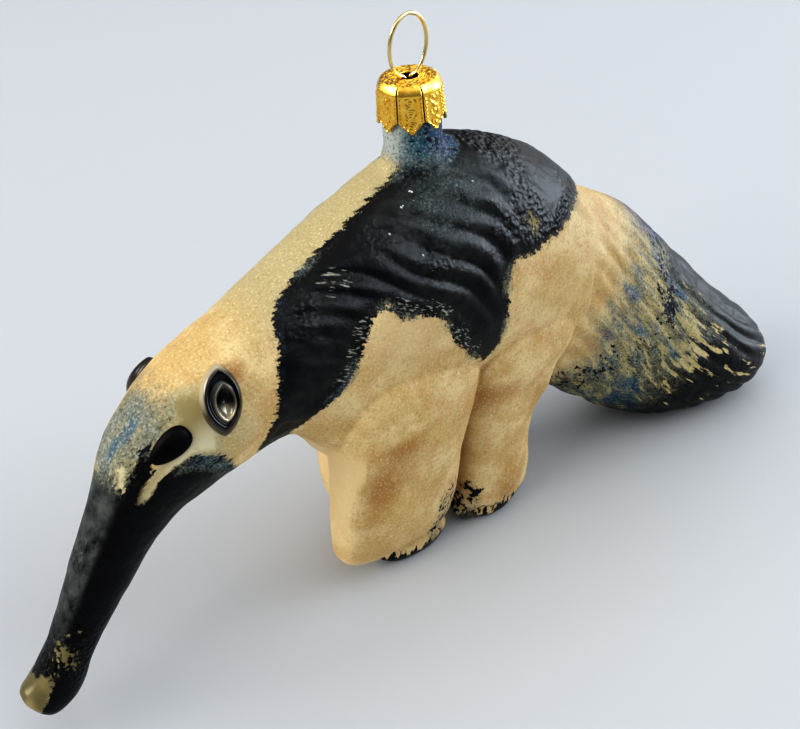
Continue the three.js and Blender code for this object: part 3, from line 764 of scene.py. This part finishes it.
painted = dict(black=black, ragged=ragged, tint=tint, hue=hue, pale=pale, dots=dots, dust_and_sheen=dust_and_sheen, bare=bare,
               bare_ragged=bare_ragged, creamy=creamy, reveal=reveal, strand_and_glint=strand_and_glint, pit=pit, warm_tone_and_hollow_shade=warm_tone_and_hollow_shade, rubbed_and_highlit=rubbed_and_highlit,
               olive=olive, comb=comb, lay=lay)
for name, values in painted.items():
    attribute(skin_mesh, name, values)
print("stored on each point:", ", ".join(painted))

# %% [markdown]
# ## Lacquered, silvered glass
# The real thing is clear glass silvered inside and painted outside: cream lacquer with a sugar of fine glitter
# that makes it look frosted, satin black lacquer that shows a broad grey sheen, blue and violet glitter where
# the two meet, and here and there bare glass that mirrors warmly. One material holds all, because on the real
# body they are films on one skin.

# %% One helper for every node
def add(tree, kind, inputs=(), out=0, **settings):
    """Adds a node with its settings and returns one of its outputs. Each input is given by number or name: a socket is
    linked to it, a hex colour is made linear, and any other value is set."""
    node = tree.nodes.new("ShaderNode" + kind)
    for key, value in settings.items():
        setattr(node, key, value)
    for key, value in inputs.items() if isinstance(inputs, dict) else enumerate(inputs):
        if isinstance(value, bpy.types.NodeSocket):
            tree.links.new(value, node.inputs[key])
        else:
            node.inputs[key].default_value = (*linear(value), 1) if isinstance(value, str) else value
    return node.outputs[out]


on_glass = partial(add, glass_tree)
place = on_glass("TexCoord", out="Object")
brushed = on_glass("Attribute", out="Vector", attribute_name="lay")
stored = {name: on_glass("Attribute", out="Fac", attribute_name=name) for name in painted if name != "lay"}
print("the paint reads", len(stored), "numbers from the skin")

# %% [markdown]
# ## Grains
# All that is finer than the mesh comes from noise with a grain of a known size. Sprinkled things have round grains, and
# brushed ones are drawn out along the stroke. Real glitter is near 0.2 mm across, too fine to show from here, so it is
# drawn at 0.3 mm and more.

# %% Grains
GRAINS = {  # size in mm, detail, roughness, and for strokes how far they are drawn out along, across and outwards
    "fine": (0.32, 3, 0.6, None), "strokes": (1, 2, 0.55, (4.0, 0.9, 1.5)), "fibres": (1, 4, 0.7, (0.9, 0.4, 0.6)),
    "streaks": (1, 2, 0.5, (6.0, 1.5, 2.7)), "strands": (1, 3, 0.55, (2.6, 0.4, 0.8)), "worn": (0.9, 3, 0.6, None),
    "sprinkled": (0.42, 3, 0.6, None), "drifts": (2.4, 2, 0.6, (2.2, 1, 1)), "patches": (2.0, 2, 0.6, None),
    "clouds": (7.0, 2, 0.6, None), "blush": (5.0, 2, 0.6, None), "sand": (0.5, 3, 0.6, None),
    "sugar": (0.38, 3, 0.6, None), "haze": (2.2, 4, 0.6, None), "dabs": (2.6, 1, 0.6, (1.4, 1, 1)),
    "flecks": (0.8, 3, 0.6, (1.3, 1, 1)), "lumps": (3.2, 2, 0.6, None)}
FLAKE, PITTING, TOOTH = 0.3, 0.8, 3.9  # mm: a flake of glitter, a pit in the lacquer, a tooth of the comb mark
grain = {}
for name, (size, detail, rough, drawn_out) in GRAINS.items():
    at, scale = place, 1 / (size * MM)
    if drawn_out:
        at, scale = on_glass("Mapping", {"Vector": brushed, "Scale": [1 / reach for reach in drawn_out]}), 1 / size
    grain[name] = on_glass("TexNoise", {"Vector": at, "Scale": scale, "Detail": detail, "Roughness": rough})
flakes = on_glass("TexVoronoi", {"Vector": place, "Scale": 1 / (FLAKE * MM)}, out="Color")
flake_red, flake_green, flake_blue = on_glass("SeparateColor", (flakes,)).node.outputs
print("grains:", len(grain))

# %% [markdown]
# ## Films of paint
# A film of paint needs two things: its area, cut from the stored distance after noise has frayed it, and its colour,
# laid over what is there by the share that covers. Both are small recipes of the same few nodes, used again and again.

# %% Films of paint
def covering(*factors):
    """How much of a film covers: the product of its factors. A factor is a socket, a number, or a socket with the two
    values of it that become 0 and 1."""
    share = None
    for factor in factors:
        if isinstance(factor, tuple):
            factor = on_glass("MapRange", factor)
        share = factor if share is None else on_glass("Math", (share, factor), operation="MULTIPLY")
    return share


def frayed(area, low, high, *noises, full=None):
    """From 0 outside an area to 1 inside: its stored distance plus each grain, less a half, times its reach in mm, then
    stretched from (low, high) to (0, 1). Where full is given, the area also fades in from nothing to that value."""
    distance = stored[area]
    for name, reach in noises:
        shift = on_glass("Math", (grain[name], 0.5), operation="SUBTRACT")
        distance = on_glass("Math", (distance, covering(shift, reach)), operation="ADD")
    return covering((distance, low, high), *([(stored[area], 0.02, full)] if full else []))


def coated(colour, *films):
    """Lays films over a colour, each given as its own colour and the factors of its share."""
    for film, *factors in films:
        colour = on_glass("Mix", {0: covering(*factors), 6: colour, 7: film}, out=2, data_type="RGBA")
    return colour


black_area = frayed("black", -0.12, 0.12, ("strokes", covering(stored["ragged"], 4.0)), ("fine", 2.2))
bare_area = frayed("bare", -0.2, 0.5, ("worn", covering(stored["bare_ragged"], 5.0)))
reveal_area = frayed("reveal", 0.46, 0.54, ("streaks", 2.4), ("fibres", 0.5), full=0.1)
strand_and_glint_area = frayed("strand_and_glint", 0.5, 0.66, ("strands", 2.2), full=0.2)
tint_area = frayed("tint", 0.1, 1.0, ("sprinkled", 1.9), ("drifts", 1.0), ("patches", 0.7), full=0.3)
dot_area = frayed("dots", 1.0, 1.15, ("dabs", 2.6), ("flecks", 4.2), full=0.2)
print("nodes so far:", len(glass_tree.nodes))

# %% [markdown]
# ## Colours
# Cream lacquer is ochre with warm and greenish clouds, and the glitter in it reads as brown sand and pale sugar;
# hollows get a painted shade and humps a painted highlight. The black is nearly pure, with a grey bloom of dust that is
# also a painted sheen, and white specks that are painted glints. Coloured glitter and bare glass each run through a
# short row of colours.

# %% Colours
HUES = ["#8f8f72", "#7b8580", "#47727f", "#3b5c8a", "#4f5480", "#6f6d88"]  # grey, teal, blue, violet
SILVERED = ["#5d583a", "#a3966a", "#e2d9b6"]  # unpainted glass, from dark gold to cream
glitter_colour, glass_colour = [on_glass("ValToRGB", (stored[name],)) for name in ("hue", "creamy")]
for colour_row, colours in ((glitter_colour, HUES), (glass_colour, SILVERED)):
    stops = colour_row.node.color_ramp.elements
    for i, tone in enumerate(colours):
        stop = stops[i] if i < 2 else stops.new(1)
        stop.position = i / (len(colours) - 1)
        stop.color = (*linear(tone), 1)
# The tan coat is the legs' own paint and, in hollows, a painted shade; the pale coat last of all is partly rubbed paint
# and partly a painted highlight.
cream = coated(
    "#d8bb80", ("#ebd5a0", (grain["clouds"], 0.42, 0.62)), ("#d39a68", (grain["blush"], 0.5, 0.72), 0.45),
    ("#b27d3c", (stored["warm_tone_and_hollow_shade"], 0.0, 1.0), 0.8), ("#bfb58c", stored["olive"], 0.9),
    ("#a2793a", (grain["sand"], 0.5, 0.66), 0.36), ("#fbefc9", (grain["sugar"], 0.54, 0.68), 0.5),
    ("#f0d6a6", stored["rubbed_and_highlit"], 0.75))
glitter = coated(
    glitter_colour, ("#cfc28c", (grain["streaks"], 0.5, 0.6), (stored["ragged"], 3, 4.5), (stored["hue"], 0.6, 0.25)),
    ("#2b2f38", (grain["fibres"], 0.5, 0.36), 0.7), ("#b9bfc0", stored["pale"]),
    ("#1b2030", (flake_red, 0.78, 0.84), 0.5), ("#b9c4b8", (flake_green, 0.74, 0.84), 0.45))
strokes_of_cream = coated("#b9a870", ("#e2d39c", (grain["fibres"], 0.35, 0.6)))
glint_spread = covering((stored["dust_and_sheen"], 0.4, 0.6), (stored["dust_and_sheen"], 1.3, 0.95))
# Over the black: grey dust that near the pike and on the snout is a painted sheen, pale strokes that on the neck are a
# painted glint, and white specks that are painted glints of glitter.
colour = coated(
    cream, ("#020204", black_area), ("#545957", stored["dust_and_sheen"], (grain["haze"], 0.3, 0.66), 0.52),
    ("#b3b4a6", strand_and_glint_area, 0.8), (strokes_of_cream, reveal_area), (glitter, tint_area, 0.92),
    ("#0d0f1c", dot_area), ("#d5dcdc", (flake_blue, 0.9965, 0.997), black_area, glint_spread),
    (glass_colour, bare_area))
print("nodes with colour:", len(glass_tree.nodes))

# %% [markdown]
# ## Gloss and grain
# Cream lacquer full of glitter is nearly matt, black lacquer is satin, and bare glass is the glossiest. Lacquer
# dries with a fine skin like orange peel, in low lumps where it lies thick, and with pits where it was chipped.

# %% Gloss and grain
MATT, SATIN = 0.62, 0.2  # roughness of the cream, and how much less the black has
tinted = on_glass("Math", (reveal_area, tint_area), operation="MAXIMUM")
only_black = covering(black_area, on_glass("Math", (1.0, tinted), operation="SUBTRACT"))
lacquer_rough = on_glass("Math", (MATT, covering(only_black, SATIN)), operation="SUBTRACT")
less_on_glass = on_glass("Math", (1.0, covering(bare_area, 0.38)), operation="SUBTRACT")
pits = on_glass("TexVoronoi", {"Vector": place, "Scale": 1 / (PITTING * MM)}, feature="SMOOTH_F1")
teeth = on_glass("TexWave", {"Vector": place, "Scale": 1 / (TOOTH * MM), "Distortion": 2.5, "Detail Scale": 2.0},
                 out="Fac", bands_direction="Z")
relief = covering(grain["fine"], 0.07)  # mm, and so are the heights below
for height_mm in (covering(grain["lumps"], only_black, 0.3), covering(stored["pit"], pits, 0.9),
                  covering(teeth, stored["comb"], 0.09)):
    relief = on_glass("Math", (relief, height_mm), operation="ADD")
painted_only = on_glass("Math", (1.0, bare_area), operation="SUBTRACT")
bump = on_glass("Bump", {"Height": covering(relief, painted_only), "Distance": MM, "Strength": 1.0})
glass_shader.inputs["Specular IOR Level"].default_value = 0.17
for socket, value in (("Base Color", colour), ("Roughness", covering(lacquer_rough, less_on_glass)),
                      ("Metallic", covering(bare_area, 0.15)), ("Normal", bump)):
    glass_tree.links.new(value, glass_shader.inputs[socket])
print("nodes in all:", len(glass_tree.nodes))

# %% [markdown]
# ## The finished skin
# The skin goes back to the frame, in metres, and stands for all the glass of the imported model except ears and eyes.

# %% Finish the skin
skin_mesh.vertices.foreach_set("co", placed(skin).astype(np.float32).ravel())
skin_mesh.polygons.foreach_set("use_smooth", np.ones(len(skin_mesh.polygons), bool))
skin_mesh.update()
body = bpy.data.objects.new("glass_body", skin_mesh)
bpy.context.scene.collection.objects.link(body)
GLASS_NODES = ["snout", "head", "neck", "torso", "tail", "front_leg_left", "front_leg_right", "hind_leg_left",
               "hind_leg_right", "front_foot_left", "front_foot_right", "hind_foot_left", "hind_foot_right",
               "glass_pike"]
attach(body, "root")
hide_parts(*GLASS_NODES)
body.data.materials.clear()
body.data.materials.append(lacquered_glass)
print("skin:", len(skin_mesh.vertices), "points, standing for", len(GLASS_NODES), "nodes")

# %% [markdown]
# ## Ears and eyes
# The ears are raised in the glass: a leaf with a rounded rim, a step inside it and a hollow in the middle, left
# unpainted, so it mirrors darkly. Each eye is a drop of glossy black enamel with its point towards the snout. The
# right ones are mirrored, then let down a little around the axis of the head.

# %% Seats on the head
HEAD_TURN = math.radians(-26)
EAR = dict(at=(-42.9, -8.2, 52.8), out=(-0.28, -0.76, 0.59), along=(2.2, 4.2, 7.3))
EYE = dict(at=(-50.4, -6.8, 48.2), out=(-0.49, -0.75, 0.44), along=(4.4, -1.1, 3.0))


def seated(points, at, out, along):
    """Carries points from a drawing on the skin (x along, z out) to their place."""
    z = unit(np.array(out, float))
    x = unit(np.array(along, float) - np.dot(along, z) * z)
    return points @ np.stack([x, np.cross(z, x), z]) + np.array(at)


def right_hand(form, t, ahead_mm):
    """The right-hand copy of a piece of the head: mirrored, moved ahead and turned about the head's axis at t."""
    points, faces = form
    centre, ahead = trunk_frame(np.array([float(t)]))[:2]
    turn = np.array(Matrix.Rotation(HEAD_TURN, 3, Vector(ahead[0])))
    return (points * (1, -1, 1) - centre[0] - ahead_mm * ahead[0]) @ turn.T + centre[0], [f[::-1] for f in faces]


def piece(name, form, material, node):
    """A finished piece that rides the ornament and stands for one node."""
    made = object_from(name, placed(form[0]), form[1], material)
    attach(made, "root")
    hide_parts(node)
    print(name + ":", len(made.data.vertices), "points")
    return made


# %% Ear form
EAR_PROFILE = np.array([  # share of the leaf's half width, height in mm over the skin
    (0.02, -2.4), (0.7, -2.0), (1.0, -0.7), (0.99, 0.1), (0.955, 0.65), (0.91, 1.05), (0.85, 1.35), (0.79, 1.5),
    (0.73, 1.42), (0.68, 1.15), (0.63, 0.92), (0.57, 0.95), (0.51, 1.05), (0.45, 0.98), (0.38, 0.7), (0.28, 0.4),
    (0.15, 0.25), (0.0, 0.2)])


EAR_LONG, EAR_WIDE = 5.1, 3.0  # half sizes of the leaf in mm


def ear_grid():
    """The two parameters of an ear: the place on the profile, counted in rows, and the turn round the leaf."""
    return grid(np.linspace(0, len(EAR_PROFILE) - 1, 110), 96)


def ear_form():
    """The profile from the root over the rim into the hollow, carried around a leaf: length times the cosine of the
    turn, and width times the sine to the power 1.4, which draws the tips out. The hollow lies a little to one side
    and nearer the low end, and the rim is lower at both tips."""
    s, turn = ear_grid()
    row = between(EAR_PROFILE, s)
    wide = np.maximum(row[..., 0], 0)
    inner = ramp(0.85 - wide, 0, 0.4)
    x = EAR_LONG * wide * np.cos(turn) - 0.6 * inner
    y = 0.2 + EAR_WIDE * wide * np.sign(np.sin(turn)) * np.abs(np.sin(turn)) ** 1.4 - 0.5 * inner
    z = row[..., 1] * (1 - 0.3 * np.cos(turn)**2 * (row[..., 1] > 0))
    points, faces = closed_stack(np.stack([x, y, z], -1))
    return seated(points, **EAR), [face[::-1] for face in faces]


ear_left = ear_form()
print("ear rim", EAR_PROFILE[:, 1].max(), "mm over the skin")


# %% Eye form
def eye_form(turns=48, steps=60):
    """A drop: its half width is the sine of the polar angle to the power 0.8, times a size that grows from the point
    to the round end, and its half height is 0.7 of that."""
    polar, turn = grid(np.linspace(0, np.pi, steps), turns)
    along = np.cos(polar)
    x = -0.9 + 3.5 * along
    width = np.sin(polar) ** 0.8 * (1.95 + 0.45 * along)
    return closed_stack(np.stack([x, width * np.cos(turn), 0.7 * width * np.sin(turn)], -1))


eye_points, eye_faces = eye_form()
eye_left = seated(eye_points, **EYE), eye_faces
print("eye:", len(eye_points), "points")

# %% [markdown]
# ## Bare glass of the ears
# Silvered glass is a mirror behind clear glass. In a small, deep form it shows dark lines where it mirrors the dark
# room and pale ones where it mirrors the cloth. How pale each ring looks is stored on the ear's points, because this
# plain studio has too little in it to be mirrored.

# %% Silvered ears
silvered, silvered_tree, silvered_shader = paint("silvered_glass")
# The ear's colour runs from dark to pale by its painted reflection.
painted_reflection = add(silvered_tree, "Attribute", out="Fac", attribute_name="painted_reflection")
painted_reflection_colour = add(silvered_tree, "Mix", {0: painted_reflection, 6: "#0b0a0c", 7: "#c9bfa4"}, out=2, data_type="RGBA")
silvered_tree.links.new(painted_reflection_colour, silvered_shader.inputs["Base Color"])
for socket, value in (("Metallic", 0.25), ("Roughness", 0.22), ("Specular IOR Level", 0.35)):
    silvered_shader.inputs[socket].default_value = value


def ear_painted_reflection():
    """How pale the glass looks, a painted reflection: dark in the ring between rim and inner leaf and in the middle of
    the hollow, pale on the rim towards the crest, on the inner leaf's edge and at the low end."""
    s, turn = ear_grid()
    wide = between(EAR_PROFILE, s)[..., 0]
    rim = ramp(wide, 0.8, 0.93) * (0.1 + 0.9 * ramp(0.6 * np.sin(turn) + 0.8 * np.cos(turn), 0.1, 0.8))
    low = ramp(-np.cos(turn), -0.5, 0.9)
    leaf = np.exp(-((wide - 0.5) / 0.07)**2) * (0.16 + 0.4 * low)
    low_end = low**2 * fall(wide, 0.42, 0.56) * 0.4
    return np.clip(rim + leaf + low_end, 0, 1)


def store_painted_reflection(made, values):
    """Stores the painted reflection on the ring points; the two tips of the stack take the value next to them."""
    values = values.ravel()
    count = len(made.data.vertices)
    attribute(made.data, "painted_reflection", np.concatenate([values, np.full(max(0, count - len(values)), values[-1])])[:count])


# The right ear keeps only a small share of the painted reflection.
FAR_EAR_REFLECTION = 0.06  # what shows of the right ear over the head is dark
ear_right = right_hand(ear_left, 6.0, 4.6)
store_painted_reflection(piece("left_ear", ear_left, silvered, "ear_left"), ear_painted_reflection())
store_painted_reflection(piece("right_ear", ear_right, silvered, "ear_right"), FAR_EAR_REFLECTION * ear_painted_reflection())

# %% [markdown]
# ## Enamelled eyes
# The eyes are brushed on in thick enamel, which levels out as it dries and keeps only a faint ripple. Like the metals
# later, it takes its life from small clouds between two close colours and a shallow bump of the same grain.

# %% Eyes
def grained(tree, shader, low, high, size_mm, height_mm, stretch=(1, 1, 1)):
    """Clouds between two colours and a bump of the given height, both with a grain of the given size."""
    at = add(tree, "Mapping", {"Vector": add(tree, "TexCoord", out="Object"), "Scale": stretch})
    cloud = add(tree, "TexNoise", {"Vector": at, "Scale": 1 / (size_mm * MM), "Detail": 3.0})
    share = add(tree, "MapRange", (cloud, 0.35, 0.65))
    colour = add(tree, "Mix", {0: share, 6: low, 7: high}, out=2, data_type="RGBA")
    tree.links.new(colour, shader.inputs["Base Color"])
    bump = add(tree, "Bump", {"Height": cloud, "Distance": MM * height_mm, "Strength": 1.0})
    tree.links.new(bump, shader.inputs["Normal"])


# Brushed black enamel: near black, with one soft light on its round side.
enamel, enamel_tree, enamel_shader = paint("black_enamel")
grained(enamel_tree, enamel_shader, "#030304", "#08080a", 1.4, 0.04)
enamel_shader.inputs["Roughness"].default_value = 0.5
enamel_shader.inputs["Specular IOR Level"].default_value = 0.08
piece("left_eye", eye_left, enamel, "eye_left")
piece("right_eye", right_hand(eye_left, 5.1, 3.9), enamel, "eye_right")

# %% [markdown]
# ## Crown cap
# The cap is pressed from thin brass sheet: a disc with a hole, bent down into eight petals with pointed ends,
# each with a raised border and a row of small florets. Each petal is drawn as a plate of its own, with the
# pattern on its outer face alone, and all are joined with the disc to one piece.

# %% The pressed pattern
PETALS, PETAL_TURN = 8, math.radians(-131)
SHEET = 0.4  # mm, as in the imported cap
DISC_TOP, DISC_RADIUS, HOLE_RADIUS = 12.8, 4.25, 1.5
CAP_PATH = np.array([  # radius and height down a petal, from the disc's edge to the point
    (4.1, 12.8), (4.5, 12.35), (4.88, 11.7), (4.93, 11.2), (4.97, 10.4), (5.02, 9.4), (5.08, 8.4), (5.14, 7.5),
    (5.2, 6.5), (5.25, 5.6)])


def florets(across, down):
    """Height in mm of three florets down the middle of a petal, at across and down in mm: each is a round knob, a
    bell curve of its radius, in a ring that swells three times on its way round."""
    pattern = np.zeros_like(across)
    for centre in (2.4, 4.3, 6.2):
        r = np.hypot(across, down - centre)
        turn = np.arctan2(down - centre, across)
        pattern += 0.2 * np.exp(-(r / 0.26) ** 2)
        pattern += 0.17 * np.exp(-((r - 0.74) / 0.2) ** 2) * (0.6 + 0.4 * np.cos(3 * turn + 2.5 * centre))
    return pattern


print("the middle knob stands", round(float(florets(np.zeros(1), np.full(1, 4.3))[0]), 2), "mm high")


# %% A petal
def petal_form(k, wide=44, tall=92):
    """A petal plate, k petals round from the first. Its outer face is raised by a beaded border, a bell curve of the
    distance from the edge, and by the florets, and its inner face lies a sheet's thickness inside."""
    v, u = np.meshgrid(np.linspace(0, 1, tall), np.linspace(-1, 1, wide), indexing="ij")
    path = between(CAP_PATH, v * (len(CAP_PATH) - 1))
    down = np.interp(v * (len(CAP_PATH) - 1), np.arange(len(CAP_PATH)),
                     np.concatenate([[0], np.cumsum(np.hypot(*np.diff(CAP_PATH, axis=0).T))]))
    length = down.max()
    half = np.pi * path[..., 0] / PETALS - 0.12
    half = half * np.clip((length - down) / 1.9, 0.02, 1)
    across = u * half
    edge = np.minimum(half - np.abs(across), np.maximum(0, (length - down) * 0.7))
    border = 0.2 * np.exp(-((edge - 0.28) / 0.15) ** 2) * (0.7 + 0.3 * np.cos(down * 2 * np.pi / 0.55))
    face = ramp(down, 1.7, 2.0)
    lift = face * (border + florets(across, down) * ramp(edge, 0.4, 0.6))
    turn = PETAL_TURN + k * 2 * np.pi / PETALS
    sides = []
    for depth in (lift, np.full_like(lift, -SHEET)):
        radius = path[..., 0] + depth * (0.35 + 0.65 * ramp(down, 0, 1.5))
        height = path[..., 1] + depth * fall(down, 0, 1.5)
        flat = 0.6 * across**2 / (2 * path[..., 0])  # a pressed petal is less curved than the neck
        bend = across / path[..., 0]
        r = radius + flat
        sides.append(np.stack([r * np.cos(turn + bend), r * np.sin(turn + bend), height], -1))
    rings = np.concatenate([sides[0], sides[1][:, ::-1]], axis=1)  # once round the plate's section
    first, last = rings[0].mean(0), rings[-1].mean(0)
    ends = [np.broadcast_to(p, rings[:1].shape) for p in (first, last)]
    points, faces = closed_stack(np.concatenate([ends[0], rings, ends[1]]))
    return on_pike(points), faces


petals = [petal_form(k) for k in range(PETALS)]
print("petals:", len(petals))


# %% The top disc
def disc_form(n=96, steps=44):
    """The top disc: out from the hole and back underneath, with a fine grain pressed in and a raised lip."""
    s, turn = grid(np.linspace(0, 1, steps), n)
    r = HOLE_RADIUS + (DISC_RADIUS - HOLE_RADIUS) * s
    x, y = r * np.cos(turn), r * np.sin(turn)
    pressed = 0.16 * noise(in_plane(x, y).reshape(-1, 3), 0.28).reshape(r.shape)
    lip = 0.12 * np.exp(-((r - 1.6) / 0.15) ** 2)
    top = DISC_TOP + lip + pressed * ramp(r, 1.7, 1.9) - 0.08 * ramp(r, 3.8, DISC_RADIUS)
    ring = np.concatenate([np.stack([x, y, top], -1), np.stack([x, y, np.full_like(r, DISC_TOP - SHEET)], -1)[::-1]])
    return on_pike(ring.reshape(-1, 3)), hoop_faces(len(ring), n)[:, [0, 3, 2, 1]].tolist()  # turned to face out


# %% Cap
# Gold-plated brass: a yellow mirror that handling leaves browner in spots and rolling leaves with a fine grain.
gold, gold_tree, gold_shader = paint("gold_plated_brass")
grained(gold_tree, gold_shader, "#e6b242", "#f5cd62", 0.9, 0.01)
gold_shader.inputs["Metallic"].default_value = 1.0
gold_shader.inputs["Roughness"].default_value = 0.27  # plated metal that has lost its first polish
piece("pressed_cap", joined([*petals, disc_form()]), gold, "crown_cap")

# %% [markdown]
# ## Wire loop
# A piece of springy brass wire is bent into a loop. Its two ends go down through the hole and spread inside the
# glass neck, and their spring holds the cap on. A round section carried along the path makes it.

# %% Wire
LOOP_LEAN = math.radians(8)
LOOP_HALF_WIDE, LOOP_HALF_HIGH, LOOP_MIDDLE, WIRE_RADIUS = 3.6, 4.7, 17.4, 0.3  # mm


def tube_form(path, radius, rows=420, around=20):
    """A round tube along a smooth path in the plane y = 0 of the pike: each ring is square to the path."""
    t = np.linspace(0, len(path) - 1, rows)
    at = between(path, t)
    ahead = unit(between(path, np.minimum(t + 0.01, len(path) - 1)) - between(path, np.maximum(t - 0.01, 0)))
    level = np.broadcast_to(np.array([0.0, 1.0, 0.0]), at.shape)
    side = np.cross(ahead, level)
    turn = np.linspace(0, 2 * np.pi, around, endpoint=False)
    rings = at[:, None] + radius * (np.cos(turn)[None, :, None] * side[:, None]
                                    + np.sin(turn)[None, :, None] * level[:, None])
    ends = [np.broadcast_to(at[k], (1, around, 3)) for k in (0, -1)]
    points, faces = closed_stack(np.concatenate([ends[0], rings, ends[1]]))
    return on_pike(points), faces


swing = -np.pi / 2 - np.linspace(0.2, 2 * np.pi - 0.2, 25)
aside, rise_up = LOOP_HALF_WIDE * np.cos(swing), LOOP_HALF_HIGH * np.sin(swing) + LOOP_HALF_HIGH
loop = np.stack([-0.3 + aside * math.cos(LOOP_LEAN) + rise_up * math.sin(LOOP_LEAN), 0 * swing,
                 LOOP_MIDDLE - LOOP_HALF_HIGH - aside * math.sin(LOOP_LEAN) + rise_up * math.cos(LOOP_LEAN)], -1)
# Bright drawn brass wire: paler than the plating, with faint lengthwise draw marks.
brass, brass_tree, brass_shader = paint("brass_wire")
grained(brass_tree, brass_shader, "#cfb574", "#e6d29c", 0.5, 0.015, (1, 1, 0.3))
brass_shader.inputs["Metallic"].default_value = 1.0
brass_shader.inputs["Roughness"].default_value = 0.25
ends = np.array([(-2.4, 0, 6.5), (-1.5, 0, 9.5), (-0.6, 0, 12.0)])
wire_path = np.concatenate([ends, loop, (ends * (-1, 1, 1))[::-1]])
piece("wire_loop", tube_form(wire_path, WIRE_RADIUS), brass, "hanger_wire")
